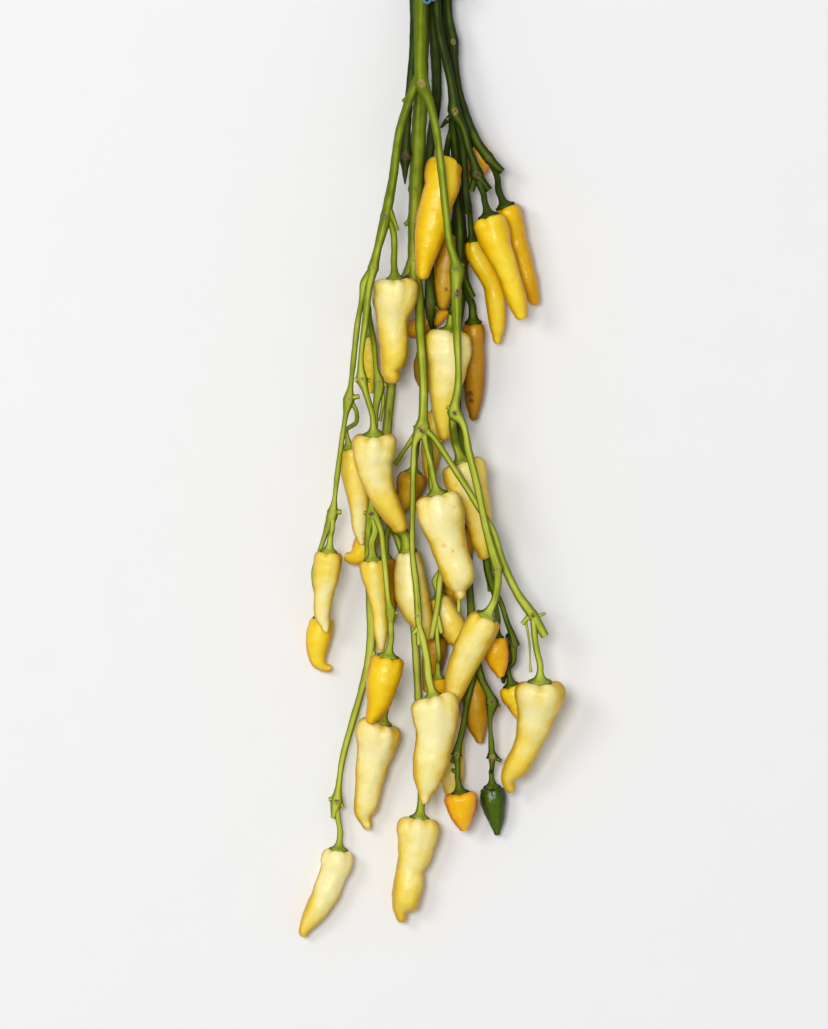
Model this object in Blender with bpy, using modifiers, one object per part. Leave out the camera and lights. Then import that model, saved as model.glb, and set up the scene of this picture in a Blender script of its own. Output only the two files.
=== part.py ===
"""A hanging bunch of fresh chillies, laid on its back.

Forty-three fruits in cream, yellow, orange and green hang on the cut branches that bore them, and a
blue cord ties the branches together. Places are in millimetres: x runs to the right, y up towards
the tie, z up from the surface that the bunch lies on. The tie is at y = 0.
"""

import math

import bmesh
import bpy
import numpy as np

MM = 0.001
GAP = 0.3
STEM_STEP = 36.0
STEM_BEVEL_RESOLUTION = 1
SHOULDER_AT = 0.08
TIP_AT = 0.93
SEAT_MARGIN = 0.4
ORIGIN_SHIFT = (-0.65, 211.79, 0.0)

# How far along a fruit each ring of vertices lies, by how closely the fruit is seen.
RINGS = {
    "near": (0.0, 0.03, 0.1, 0.25, 0.42, 0.58, 0.74, 0.88, 0.96),
    "middle": (0.0, 0.035, 0.12, 0.3, 0.48, 0.66, 0.82, 0.94),
    "far": (0.0, 0.05, 0.22, 0.45, 0.68, 0.9),
}
SIDES = {"near": 9, "middle": 8, "far": 8}

MATERIALS = {
    # name: (colour, roughness)
    "skin_cream": ((0.90, 0.80, 0.36), 0.30),
    "skin_yellow": ((0.92, 0.66, 0.05), 0.28),
    "skin_golden": ((0.68, 0.42, 0.05), 0.32),
    "skin_orange": ((0.93, 0.36, 0.01), 0.28),
    "skin_green": ((0.05, 0.13, 0.02), 0.28),
    "stem_light": ((0.26, 0.34, 0.06), 0.50),
    "stem_dark": ((0.10, 0.15, 0.03), 0.50),
    "tie_blue": ((0.10, 0.27, 0.42), 0.60),
}

# Each fruit: skin, detail, sections from the middle of its crown to its tip, each with its place and
# width (x, y, z, width), then the number and turn in degrees of its lobes and the radius of its calyx.
CHILLIES = {
    "chilli_01": ("yellow", "near", [
        (7.5, -80.5, 22.5, 18.5), (6.6, -86, 25, 19), (6, -93.5, 28, 17.8), (3.9, -100, 29, 17),
        (1.9, -107.5, 29.6, 16.6), (0.4, -115, 30, 15.6), (-1.1, -122.5, 30.4, 13.1),
        (-2.3, -129, 30.7, 10.5), (-3.2, -135, 30.9, 7.6), (-4, -140, 31, 4.2),
    ], (3, 20), 5.5),
    "chilli_02": ("golden", "middle", [
        (11, -117, 11.5, 12.5), (9.5, -127, 12, 14), (7.5, -137, 12.5, 13.5), (6.8, -145, 13, 12),
        (6.3, -151, 13.5, 8.5), (6.5, -155, 13.8, 4),
    ], (3, 50), 4),
    "chilli_03": ("orange", "far", [
        (7.5, -153.5, 5, 8), (3.5, -157.5, 5, 9.6), (-1, -160.8, 4.9, 9.6), (-5.5, -163.3, 4.6, 9.5),
        (-9, -165, 4.2, 8), (-11.6, -166, 4, 5),
    ], (3, 0), 2.6),
    "chilli_04": ("yellow", "near", [
        (29.3, -108.2, 26, 17), (31.1, -115, 26, 17.2), (33.1, -122.5, 26, 15.3),
        (36.5, -130, 25.6, 13.2), (39.5, -137.5, 25.2, 11.3), (41.9, -145, 24.4, 10.7),
        (43.9, -151.5, 23.4, 9.8), (45.3, -156.5, 22.6, 7), (46.5, -159.8, 22, 3.8),
    ], (3, 30), 5.2),
    "chilli_05": ("yellow", "near", [
        (37.5, -103, 12, 14.5), (39.3, -107.5, 11.8, 15), (41.2, -112.5, 11.4, 12.7),
        (43, -120, 11, 11.6), (45.5, -127.5, 10.3, 10.8), (47.5, -135, 9.7, 10.2),
        (49.5, -142.5, 9, 9.8), (51.3, -147.5, 8.4, 7.3), (53.4, -152.2, 8, 3.6),
    ], (4, 10), 4.8),
    "chilli_06": ("yellow", "near", [
        (21.3, -120.3, 15, 8.5), (22, -125, 14.9, 9.2), (25.2, -131, 14.5, 10), (28.5, -136.5, 14, 9.6),
        (31.3, -142.5, 13, 9.3), (32.9, -150, 12, 10.1), (33.5, -157.5, 11, 9.4), (33.8, -164, 10, 7.5),
        (33.8, -168.5, 9.4, 4.7), (33.7, -171.7, 9, 2.5),
    ], (3, 80), 3.4),
    "chilli_07": ("orange", "far", [
        (22.5, -72.5, 7, 10), (24, -77, 6.6, 12.5), (24.2, -82, 6.2, 12), (22, -87, 5.6, 9.5),
        (19.8, -90.5, 5.2, 5.5), (19, -92, 5, 3),
    ], (3, 0), 3.2),
    "chilli_08": ("cream", "near", [
        (-17.5, -139.6, 32, 22.5), (-17.3, -144, 31.8, 23.3), (-17.9, -149, 31.4, 23.2),
        (-18.6, -154, 31, 20.2), (-19.1, -159, 30.8, 16.3), (-18.9, -165, 30.4, 14.9),
        (-18.3, -171, 30, 14.6), (-18.2, -177.5, 29.5, 13.8), (-18.8, -182, 29, 12),
        (-19.8, -185.5, 28.8, 9.2), (-18.6, -189, 28.6, 7.8), (-18, -191.8, 28.5, 4),
    ], (4, 20), 4.4),
    "chilli_09": ("yellow", "far", [
        (-30.7, -168.3, 6, 8), (-30.5, -176, 5.7, 8.6), (-30.4, -184, 5.4, 8), (-30, -191, 5.1, 6),
        (-29.7, -196.5, 5, 3),
    ], (3, 0), 2.6),
    "chilli_10": ("cream", "near", [
        (9.8, -165.2, 26, 22), (9.4, -170, 25.7, 22.7), (9.5, -175, 25.4, 22.7), (9.1, -180, 25, 21.2),
        (8.3, -187.5, 24.6, 18.5), (7.4, -195, 24.2, 15.8), (7, -202.5, 23.8, 13),
        (6.9, -209, 23.5, 10.6), (7.1, -215, 23.2, 8), (7.3, -220.2, 23, 4.5),
    ], (3, 60), 5),
    "chilli_11": ("golden", "far", [
        (0.5, -173, 8.5, 11.5), (-0.6, -179, 7.8, 13.5), (-1.6, -185, 7, 13.2), (-1.7, -191, 6.4, 10),
        (-1.5, -196, 6, 4),
    ], (3, 0), 3.6),
    "chilli_12": ("golden", "middle", [
        (21.8, -161.2, 11, 10.5), (22, -165, 10.7, 11.2), (21.8, -172.5, 10, 11.5), (22, -180, 9.4, 12),
        (22.2, -187.5, 8.7, 11.3), (22.2, -195, 8, 10.3), (22, -201, 7.5, 8.5), (22, -205.5, 7.2, 6),
        (22, -210.2, 7, 2.6),
    ], (3, 40), 4.2),
    "chilli_13": ("cream", "middle", [
        (4, -205.5, 8, 11), (3, -213, 7.6, 12), (1, -222, 7, 11), (0.3, -229, 6.5, 9.5),
        (0, -235, 6.2, 7), (0, -240.5, 6, 3.5),
    ], (3, 20), 3.6),
    "chilli_14": ("golden", "middle", [
        (-8.5, -236.5, 12, 14), (-9.3, -241, 12, 15.5), (-10.8, -246, 12.2, 13),
        (-12.8, -251, 12.6, 9.5), (-14.2, -255, 13, 5.5), (-14.8, -257, 13, 3),
    ], (4, 20), 4.6),
    "chilli_15": ("cream", "near", [
        (-28, -217.2, 43.5, 22), (-27.8, -221.5, 42.6, 22.5), (-28, -226, 41.8, 21),
        (-27.9, -231.5, 40.7, 19.2), (-26.9, -237.5, 39.6, 17.2), (-25, -243.5, 38.4, 15),
        (-22.8, -249, 37.4, 13.6), (-20.2, -254, 36.3, 12.4), (-17.4, -258.5, 35.3, 11),
        (-15.3, -262.5, 34.5, 8.5), (-14.3, -266.2, 34, 5),
    ], (4, 45), 5),
    "chilli_16": ("cream", "near", [
        (-40.3, -223.7, 22, 11), (-39.5, -227.5, 21.4, 12), (-38.5, -235, 20.2, 12.6),
        (-37, -242.5, 19.2, 12), (-35.7, -250, 18.3, 11), (-35.2, -257.5, 17.5, 9.2),
        (-35.3, -264, 16.9, 7.4), (-34.7, -268.5, 16.4, 5), (-34, -272.6, 16, 2.6),
    ], (3, 0), 4),
    "chilli_17": ("yellow", "middle", [
        (-28.3, -259, 8, 10), (-30, -266, 7, 12), (-33, -273, 6.3, 11.5), (-36.5, -278, 6.2, 9.5),
        (-40, -278.8, 6, 6.2), (-43, -277.9, 6, 3),
    ], (3, 0), 3.6),
    "chilli_18": ("cream", "near", [
        (-50.6, -275.8, 25, 13.5), (-51.2, -281, 24.3, 14.6), (-51.7, -286.5, 23.5, 13.8),
        (-52.5, -292.5, 22.6, 12), (-53.1, -298.5, 21.7, 10), (-53.8, -304, 20.9, 9.1),
        (-53.8, -308.5, 20.5, 7.8), (-52.6, -312.5, 20.2, 5.2), (-52, -316.3, 20, 2.4),
    ], (3, 30), 4.2),
    "chilli_19": ("yellow", "near", [
        (-54.5, -309, 8, 12.5), (-54.5, -313, 7.8, 13), (-55.7, -318, 7.3, 13.5), (-56.3, -323, 7, 12),
        (-56.5, -327.5, 6.7, 9.8), (-55.6, -331.3, 6.5, 7.6), (-53.2, -333.6, 6.3, 5),
        (-50.8, -334.2, 6, 3.4), (-49.2, -334, 6, 2.2),
    ], (3, 70), 4),
    "chilli_20": ("cream", "near", [
        (-28.7, -280, 26, 13.5), (-28.5, -283, 25.8, 14), (-28.2, -287.5, 25.4, 12.5),
        (-27.2, -292.5, 25, 10.5), (-26.4, -298.5, 24.6, 8.7), (-25.4, -305, 24.2, 7.7),
        (-24.8, -311, 23.8, 7.5), (-24.6, -317, 23.5, 6.9), (-24.5, -321.5, 23.2, 5),
        (-24.5, -325.7, 23, 2.6),
    ], (3, 0), 4.3),
    "chilli_21": ("golden", "far", [
        (-22, -279, 8, 9.5), (-21.9, -287, 7, 10.5), (-21.5, -295, 6, 9.8), (-20.5, -304, 5.4, 8),
        (-19.6, -311, 5, 3.5),
    ], (3, 0), 3),
    "chilli_22": ("cream", "near", [
        (-11, -275.8, 19, 13), (-10.4, -280, 18.9, 14), (-10.1, -286, 18.7, 15.3),
        (-9.6, -292.5, 18.6, 16.3), (-8.6, -299, 18.5, 17), (-6.9, -305, 18.2, 15.5),
        (-4.3, -310, 17.6, 12.6), (-2.1, -315, 16.9, 8.8), (0, -320, 16, 4),
    ], (3, 45), 4.6),
    "chilli_23": ("cream", "middle", [
        (4.8, -298.5, 14.6, 10.5), (6.9, -304.5, 14.6, 12.5), (9.6, -310.5, 14.5, 14),
        (12.8, -316, 14.2, 13), (15.2, -320.5, 13.8, 10), (16.4, -323.5, 13.4, 6),
    ], (3, 30), 3.6),
    "chilli_24": ("golden", "far", [
        (9, -286, 9, 8), (10.5, -292, 6, 9), (11, -297.5, 4.8, 8.6), (10.8, -302, 4.5, 6),
        (10.7, -304.5, 4.5, 3.5),
    ], (3, 0), 2.6),
    "chilli_25": ("cream", "near", [
        (3.4, -246.8, 39.5, 22.2), (4.6, -252.5, 39, 23.2), (5.4, -257.5, 38.7, 23.2),
        (6.8, -263.5, 38.3, 21.2), (8.7, -270, 38, 18.8), (10.4, -276, 37.6, 17.8),
        (12.3, -281, 37.3, 17.5), (14, -286, 36.9, 17.3), (14.5, -290.5, 36.5, 15.6),
        (14.5, -294, 36.3, 10.5), (15, -296.5, 36.1, 5.2), (15.1, -299.8, 36, 4.2),
    ], (4, 15), 5.2),
    "chilli_26": ("cream", "near", [
        (15.8, -230.8, 24.5, 21.5), (17.2, -235, 24.2, 22.8), (18, -240, 23.9, 22),
        (20.3, -246, 23.4, 18.2), (22.6, -252.5, 23, 15.6), (24.3, -259, 22.6, 13.8),
        (25.2, -265, 22.2, 11.8), (25.7, -270.5, 22, 10), (26.5, -275, 21.7, 7.5),
        (27.4, -279.8, 21.5, 4),
    ], (4, 60), 5.2),
    "chilli_27": ("golden", "far", [
        (16.5, -264.5, 15.5, 8), (17.6, -269, 15.2, 9), (18.6, -273.5, 14.8, 7.5),
        (19.2, -278.5, 14.5, 4),
    ], (3, 0), 2.8),
    "chilli_28": ("cream", "near", [
        (28.5, -308, 34, 15.5), (26.3, -312.5, 33, 17), (22.5, -319.5, 31.2, 16.8),
        (18.5, -327.5, 28.6, 15.6), (15, -336, 26, 14.3), (12.9, -342.5, 24, 12.2),
        (11.7, -348, 22.5, 9), (10.8, -352.5, 21, 5),
    ], (3, 100), 5.2),
    "chilli_29": ("cream", "near", [
        (1.4, -347.8, 35, 22), (2.4, -352.5, 34.8, 23.4), (2.5, -357.5, 34.5, 22.8),
        (2.7, -363.5, 34.1, 20.2), (2.3, -369, 33.8, 18.5), (1.3, -375, 33.5, 18.3),
        (0.3, -381, 33.1, 17.4), (-0.8, -387, 32.6, 15.3), (-1.6, -392.5, 32, 11.6),
        (-2.4, -397.5, 31.4, 6.4), (-3, -401.8, 31, 3),
    ], (3, 90), 4.2),
    "chilli_30": ("cream", "near", [
        (-5.2, -409.2, 11.5, 20), (-5.7, -414, 11.4, 21.6), (-5.9, -419, 11.2, 20.8),
        (-6.8, -424, 11, 18.4), (-7.6, -429, 10.6, 16.8), (-8.6, -431.5, 10.5, 15.6),
        (-9.7, -434, 10.4, 14.2), (-10.1, -439, 10, 15.2), (-10.8, -444, 9.7, 16),
        (-11.9, -448.5, 9.2, 15.5), (-12.8, -452, 8.9, 14), (-14.4, -454.5, 8.6, 9.8),
        (-14.7, -457, 8.4, 6.8), (-14.3, -459.5, 8.2, 4.5), (-14, -461.8, 8, 3),
    ], (4, 40), 4.8),
    "chilli_31": ("cream", "near", [
        (-45.8, -425.3, 8.6, 15.5), (-46.2, -429, 8.5, 16.4), (-46.7, -433, 8.4, 16.2),
        (-48.5, -437.5, 8, 14.3), (-50.2, -442, 7.8, 14), (-51.9, -446.5, 7.7, 14.2),
        (-54.2, -451, 7.5, 13), (-56.8, -455.5, 7.3, 11.8), (-59.4, -459.5, 7, 10),
        (-61.5, -463, 6.8, 7.8), (-63, -466, 6.6, 5.5), (-63.8, -469, 6.5, 4),
    ], (4, 0), 4.6),
    "chilli_32": ("cream", "near", [
        (-24.3, -361.3, 14, 21.5), (-25.8, -366.5, 13.4, 22.9), (-26.2, -371, 12.6, 21.2),
        (-27.1, -376, 11.8, 18.6), (-28.5, -381, 11.2, 16.3), (-29.5, -387, 10.4, 15.4),
        (-30.5, -393, 9.6, 13.9), (-31.4, -399, 8.8, 13), (-32.2, -403.5, 8.3, 12.3),
        (-33.1, -407.5, 7.8, 9.5), (-32.5, -410.5, 7.5, 6.4), (-31.5, -413, 7.2, 4.2),
        (-30.8, -415.2, 7, 2.6),
    ], (4, 45), 5.2),
    "chilli_33": ("yellow", "near", [
        (-21, -328.2, 30, 16.5), (-21.8, -332.5, 29.6, 17.3), (-22.8, -337, 29.2, 17.5),
        (-24, -342, 28.9, 16.5), (-24.8, -347, 28.6, 14.5), (-25.8, -351.5, 28.4, 12.4),
        (-27.5, -355.5, 28.2, 9), (-29, -358.5, 28.1, 6.6), (-30.5, -362, 28, 3),
    ], (3, 60), 5.4),
    "chilli_34": ("cream", "near", [
        (55, -340.8, 28, 24.5), (54.9, -345, 27.2, 25.5), (54.3, -350, 26.2, 24.5),
        (53.6, -354.5, 25.3, 20.8), (52.7, -360, 24, 18.5), (51, -366, 22.6, 16),
        (48.9, -372, 21, 13.8), (46.5, -377.5, 19.6, 13), (43.9, -382, 18, 13.2),
        (41.2, -386, 16.8, 11.3), (39.3, -389.5, 15.8, 7.8), (39.8, -393, 14.8, 5.8),
        (41.5, -396.4, 14, 2.8),
    ], (4, 10), 5.8),
    "chilli_35": ("yellow", "middle", [
        (41, -343.2, 8, 12.5), (42, -347, 7.5, 13.4), (43.8, -351, 7, 12), (45.3, -356, 6.2, 9),
        (47, -361.5, 5.5, 3.5),
    ], (3, 0), 4.2),
    "chilli_36": ("orange", "near", [
        (33.5, -318.7, 16, 11), (33.2, -323, 15.8, 12.8), (33.5, -328, 15.5, 12.4),
        (34.5, -333.3, 15.2, 9), (35.7, -338.8, 15, 2.8),
    ], (3, 30), 3.6),
    "chilli_37": ("green", "far", [
        (38.3, -326, 6, 6.5), (38, -330, 5.4, 7.6), (37.6, -334, 5, 6.5), (37, -338, 4.5, 3.8),
        (36.7, -342, 4, 1.2),
    ], (3, 0), 2.4),
    "chilli_38": ("orange", "near", [
        (15, -396.7, 17, 15.5), (15.4, -399.2, 16.8, 17.6), (15.8, -402, 16.6, 17),
        (16, -404.5, 16.3, 15.2), (16.3, -408, 16, 12.4), (16.7, -411, 15.6, 9.4),
        (17.4, -415.8, 15, 3),
    ], (4, 45), 4.4),
    "chilli_39": ("green", "near", [
        (31.2, -394, 8, 11.5), (31.5, -398.5, 7.5, 13), (31.9, -402, 7.1, 13.1),
        (32.5, -406, 6.8, 11.2), (33.1, -410, 6.5, 8.8), (33.4, -414, 6.2, 5.4), (33.7, -418.2, 6, 1.8),
    ], (3, 30), 4.2),
    "chilli_40": ("golden", "middle", [
        (20.3, -336, 8, 11.5), (21.6, -342.5, 7.8, 12.6), (22.5, -350, 7.5, 12.8),
        (23.5, -357.5, 7, 12), (24, -363.5, 6.6, 10), (24.7, -368, 6.2, 6.2), (25.3, -372, 6, 2),
    ], (3, 70), 3.8),
    "chilli_41": ("cream", "middle", [
        (11.6, -352.5, 7.5, 7.5), (12, -361, 6.8, 9.4), (12, -370, 6, 10.6), (11.4, -378, 6, 11.5),
        (11.2, -389, 5.9, 12), (11, -395, 5.6, 9), (11, -401, 5, 3.5),
    ], (3, 0), 2.8),
    "chilli_42": ("orange", "far", [
        (4, -339, 15.5, 9), (4, -344.5, 14, 10), (3.8, -350, 12.5, 9.5), (3.4, -356.5, 11.4, 7.5),
        (3, -362, 10.5, 4),
    ], (3, 0), 3),
    "chilli_43": ("golden", "middle", [
        (3.2, -318.5, 7.6, 10.5), (2.6, -325, 7.2, 12.3), (1.5, -332, 6.8, 11.2), (0.2, -339, 6.2, 8.5),
        (-1.5, -346.5, 5.6, 4),
    ], (3, 45), 3.2),
}

# Each branch: its material and its runs. A run is a list of (x, y, z, radius) points. A run that
# carries a fruit names it, and its last points are the fruit's calyx, worked out from the crown.
STEMS = {
    "stem_front": ("stem_light", [
        (None, [(-4.7, 45, 17, 3.4), (-4.7, 12, 21.8, 3.3), (-4.7, 1, 22.3, 3.2), (-4.8, -14, 27, 3.2),
                (-4.7, -37, 33, 3.3), (-4.3, -42, 34, 3.8), (-0.5, -51, 37, 2.4), (2.5, -62.5, 40, 2.1),
                (5.5, -83.5, 43, 2.1), (8, -107, 43, 2), (10, -123, 42, 2), (12.7, -132, 41.5, 2.6),
                (13.2, -135, 41.5, 3.4), (13, -143, 41, 2.9), (13.2, -155.5, 41, 2.6),
                (13.5, -168, 41, 2.1), (13.5, -197, 41, 2.1), (12.3, -203, 41, 2.6),
                (12.2, -206.5, 41, 3.4), (15.2, -210, 41, 2.3), (19.3, -226, 42, 2),
                (24, -245, 42, 1.9), (27.8, -263.5, 42, 1.9), (31.2, -276, 41, 2.3),
                (34, -284.5, 40, 2.6)]),
        (None, [(-5.5, -38, 33, 2.6), (-10.5, -50.5, 35, 2.2), (-15, -65, 36.5, 2.1),
                (-18.6, -90, 38, 2.3), (-21.6, -106, 38, 2.6), (-22.3, -109.5, 38, 2.7),
                (-26.2, -125, 38, 2.1), (-28.3, -134, 38, 2.5), (-30.4, -143.5, 39, 2),
                (-32.2, -160, 40, 1.8), (-34.5, -184, 43, 1.8), (-34, -190, 44, 2.7),
                (-32, -196, 45, 1.6)]),
        (None, [(-28.5, -134.5, 38, 2), (-33, -142, 38, 2.1), (-33.8, -148, 38, 1.5),
                (-36.2, -162, 37, 1.5), (-38, -178, 36, 1.5), (-39.9, -195, 35, 1.7),
                (-40.6, -199.5, 35, 2.6), (-42, -207, 34, 1.5), (-44, -220, 33, 1.3),
                (-46.4, -238, 31, 1.4), (-48, -252, 30, 1.6), (-48.6, -256, 29, 2.5),
                (-53, -269, 20, 1.3), (-57, -281, 12, 1.3)]),
        (None, [(-31.5, -142, 36, 1.7), (-31, -153, 33, 1.4), (-28, -172.5, 22, 1.5),
                (-26.5, -187, 20, 1.7), (-25.5, -191, 20, 2.7), (-27, -203, 19, 1.6),
                (-27.5, -225, 19, 1.6), (-28.7, -244, 22.5, 1.8), (-29.2, -254, 26, 2),
                (-29.3, -257, 26, 2.8), (-30.6, -264, 23.5, 1.8), (-31, -275, 17.5, 1.8),
                (-30.8, -286, 14, 2), (-30, -297, 9, 2.3), (-30, -326, 7, 2.3), (-34.7, -347, 6, 1.8),
                (-38.9, -361.5, 6, 1.8), (-44, -380.5, 7, 1.6), (-46, -395, 8, 1.8),
                (-46.8, -401, 8.5, 2.9), (-48.6, -409.5, 8.5, 1.1)]),
        (None, [(-28.2, -256, 26.5, 1.9), (-24.5, -265.5, 29, 1.6), (-23.3, -275.5, 33, 1.6),
                (-22, -288, 35, 1.4), (-20.7, -301, 35, 1.5), (-19.6, -306.5, 34.5, 2.6),
                (-19.6, -311, 34, 1.4)]),
        (None, [(-20.5, -105, 38, 1.8), (-17.6, -111.5, 38.5, 1.1), (-16.3, -115.5, 38.5, 1)]),
        (None, [(-25.5, -191, 20, 1.6), (-21.8, -192.7, 20, 1.2)]),
        (None, [(-24.5, -192.5, 20, 1.1), (-23.4, -199, 19, 0.9), (-25, -210.5, 18, 0.9)]),
        ("chilli_08", [(-21.3, -108, 38, 1.8), (-18.6, -115, 36.5, 1.6), (-17.8, -125, 34, 1.6)]),
        ("chilli_10", [(12.8, -149, 40, 1.8), (11.8, -155, 36.5, 1.6)]),
        ("chilli_15", [(-33, -193.5, 44.5, 1.7), (-30.6, -201, 46, 1.5)]),
        ("chilli_16", [(-39.5, -201, 34.5, 1.3), (-37, -205, 33, 1.1), (-36.8, -211, 29, 1.1)]),
        ("chilli_09", [(-31.2, -150, 33.5, 1.1), (-30.2, -155, 22, 1)]),
        ("chilli_18", [(-48.7, -257, 29, 1.5), (-48.9, -265, 28, 1.4)]),
        ("chilli_19", [(-56, -278, 13.5, 1.3), (-58.2, -286, 10, 1.2), (-57, -296, 8.5, 1.2)]),
        ("chilli_20", [(-28.9, -257.5, 26, 1.8), (-27.4, -266, 27, 1.8)]),
        ("chilli_17", [(-28.6, -240, 21, 1.5), (-27.8, -246.5, 13, 1.4)]),
        ("chilli_33", [(-19.6, -308.5, 34, 1.5), (-19.6, -314, 33.5, 1.5)]),
        ("chilli_32", [(-30, -322, 7, 1.6), (-26, -336, 8, 1.5), (-23, -346.5, 12, 1.7)]),
        ("chilli_31", [(-46.8, -402, 8.5, 1.7), (-46, -410, 8.5, 1.4)]),
        ("chilli_26", [(12, -205, 40, 2.2), (11.3, -211, 37, 2), (11.9, -217.5, 30, 1.9)]),
        ("chilli_28", [(33.6, -283, 40, 2.2), (33.9, -289, 39.5, 2), (33.3, -295, 38, 1.9)]),
    ]),
    "stem_centre": ("stem_light", [
        (None, [(-3.3, 45, 8, 3.3), (-3.5, 8, 13, 3.3), (-3.7, -12, 15.5, 3.3), (-4.8, -50, 18.5, 3.5),
                (-6, -72.5, 20, 3.8), (-7, -94.5, 20, 3.5), (-7.6, -108, 20.5, 3.3),
                (-8, -125, 20.5, 3.1), (-7.4, -138, 20.5, 3.3), (-5.6, -150, 21.5, 2.6),
                (-5, -164, 27, 2.4), (-4.2, -176.5, 30, 2.3), (-3.2, -201.5, 31, 2.3),
                (-3.6, -210, 31.5, 2.7), (-4.2, -215, 32, 3.9), (-7, -220, 32, 2),
                (-8.3, -232, 32, 1.5), (-8.6, -250, 32, 1.5), (-8.6, -279, 32, 1.5),
                (-7, -292, 32, 1.7), (-5.8, -308, 32, 1.8), (-5.2, -322.5, 32, 1.5)]),
        (None, [(-3.2, -214, 32, 2.2), (1.5, -218.5, 35, 1.6), (7, -226.5, 38.5, 1.6),
                (13.2, -236, 41, 1.6), (19, -245, 39, 1.6), (24.5, -254, 37, 1.6),
                (30.5, -263.5, 36, 1.6), (36.7, -282, 34, 2), (44.5, -298, 32, 2.2),
                (51.3, -307.5, 30, 2.6), (57.5, -318, 28, 2)]),
        (None, [(-8.3, -129, 21.5, 2.6), (-12, -139, 17.5, 2.5), (-15.5, -152, 12, 2.4),
                (-18, -172, 9, 2.3), (-19.3, -192, 9, 2.3), (-20.8, -207, 9, 2.4), (-22, -222, 10, 2.4),
                (-22.3, -240, 11, 2.4), (-20, -257, 12.5, 2.8)]),
        (None, [(-21, -252, 12, 1.9), (-17.5, -266, 7, 1.8), (-13, -279, 4.5, 1.8), (-9, -296, 4, 1.8),
                (-8, -312, 4, 1.9), (-6.3, -340, 4.7, 1.9), (-5, -368, 7.5, 2), (-4, -392, 10, 2)]),
        (None, [(-3, -215, 31, 2), (-0.6, -222, 27, 1.7), (0.6, -236, 21.5, 1.7), (2, -252, 17.5, 1.8),
                (6, -268, 16, 1.9), (7.2, -280, 17, 1.9)]),
        (None, [(7.2, -277, 17, 1.8), (5.3, -288, 22.5, 1.6), (3.7, -303, 24.5, 1.6),
                (0.6, -319, 24.5, 1.5)]),
        (None, [(7.2, -277, 17, 1.6), (10.5, -289, 17, 1.2), (14.5, -301, 19.5, 1.2),
                (14.3, -306, 19.8, 1)]),
        (None, [(-5.5, -215, 31, 1.8), (-11, -222.5, 27, 1.2), (-17.5, -232, 21, 1.2)]),
        (None, [(-7.8, -129, 21, 2), (-11.3, -136.5, 20, 1.8)]),
        (None, [(-8.5, -109, 20.5, 1.5), (-12.8, -112.5, 20.5, 1.1)]),
        (None, [(52, -307.5, 30, 1.5), (48.8, -309, 30, 1.3), (46.2, -312, 29.5, 1.2)]),
        (None, [(47.8, -310, 29.5, 0.7), (49.5, -320, 28.5, 0.6), (50.2, -333.5, 28, 0.6),
                (50.4, -336, 28, 0.9)]),
        (None, [(3, -304, 24.5, 1.1), (5.8, -316.5, 24, 1.2)]),
        ("chilli_25", [(-3.2, -216.5, 32.5, 2), (-1.6, -224.5, 35, 1.5), (0.4, -232.5, 37.4, 1.5)]),
        ("chilli_29", [(-5.6, -312, 32.3, 1.5), (-3.4, -320, 33, 1.8), (-1.5, -330, 34.2, 2)]),
        ("chilli_34", [(51.8, -309, 30, 1.9), (52.4, -319, 29.7, 1.6), (53.8, -327, 29.5, 1.6)]),
        ("chilli_22", [(-20.3, -254.5, 12.3, 2.6), (-18, -263.5, 15, 2.8)]),
        ("chilli_21", [(-19.5, -259, 10.5, 1.4), (-21.5, -267, 8.5, 1.3)]),
        ("chilli_30", [(-4, -388, 10, 1.9), (-4.2, -397, 11, 1.9)]),
        ("chilli_14", [(-4.2, -213, 31, 1.5), (-5.4, -218, 25, 1.4), (-6.6, -223, 16, 1.4)]),
        ("chilli_23", [(6.6, -279.5, 15.8, 1.4), (5, -286, 14.6, 1.4)]),
        ("chilli_42", [(3, -307, 24.5, 1.2), (3.7, -320, 23, 1.2), (4.4, -330, 19.5, 1.2)]),
        ("chilli_43", [(-8.2, -298, 4, 1.3), (-2.5, -305.5, 6.2, 1.3)]),
        ("chilli_24", [(7, -274.5, 16.3, 1.3), (8, -279.5, 13.5, 1.2)]),
    ]),
    "stem_right": ("stem_dark", [
        (None, [(3, 45, 13, 2.4), (3, 8, 18, 2.4), (3.6, -8, 20, 2.3), (5.3, -20, 22, 2.2),
                (7.2, -27, 23, 2.2), (10.2, -40, 24, 2.2), (11.7, -50, 24, 2.6), (12.3, -56, 24, 3.2),
                (16.2, -63, 23.5, 2.1), (19.2, -74, 23, 2), (22.3, -83, 22.5, 2.5),
                (23.5, -87.5, 22.5, 3.3), (26.5, -91, 22.5, 2.1), (29.7, -95, 22.5, 2)]),
        (None, [(11.8, -55, 23.5, 2.2), (11.5, -62, 19, 2.2), (12.8, -78, 14.5, 2.3),
                (13, -91, 15.5, 2.3), (13.6, -101, 18.5, 2.3), (14.9, -116, 22, 2.3),
                (15.2, -129, 23, 2.5), (15.6, -133, 23, 2.9), (18, -141, 20, 1.9),
                (21.3, -148.5, 18, 1.7)]),
        (None, [(12, -57, 22.5, 1.8), (8.5, -60, 20, 1.5), (5.5, -63.5, 17.5, 0.6)]),
        (None, [(13.5, -58.5, 23, 1.9), (16.2, -72, 18, 1.8), (17.5, -88, 18, 1.9), (18, -98, 19, 2),
                (18.6, -107, 19, 1.3)]),
        (None, [(23, -87, 22.5, 2), (20.7, -95.5, 23, 1.5)]),
        ("chilli_04", [(24.3, -90, 22.5, 2), (27, -98, 24.5, 1.6)]),
        ("chilli_06", [(18, -95, 18.6, 1.6), (19.8, -103.5, 17, 1.4)]),
        ("chilli_12", [(16, -135.5, 22, 1.9), (18.8, -147, 14.5, 1.9)]),
        ("chilli_01", [(11.6, -62, 18.5, 1.6), (9.5, -69, 17, 1.5)]),
        ("chilli_02", [(13.5, -97, 18.5, 1.5), (12.6, -105.5, 14, 1.4)]),
    ]),
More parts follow.
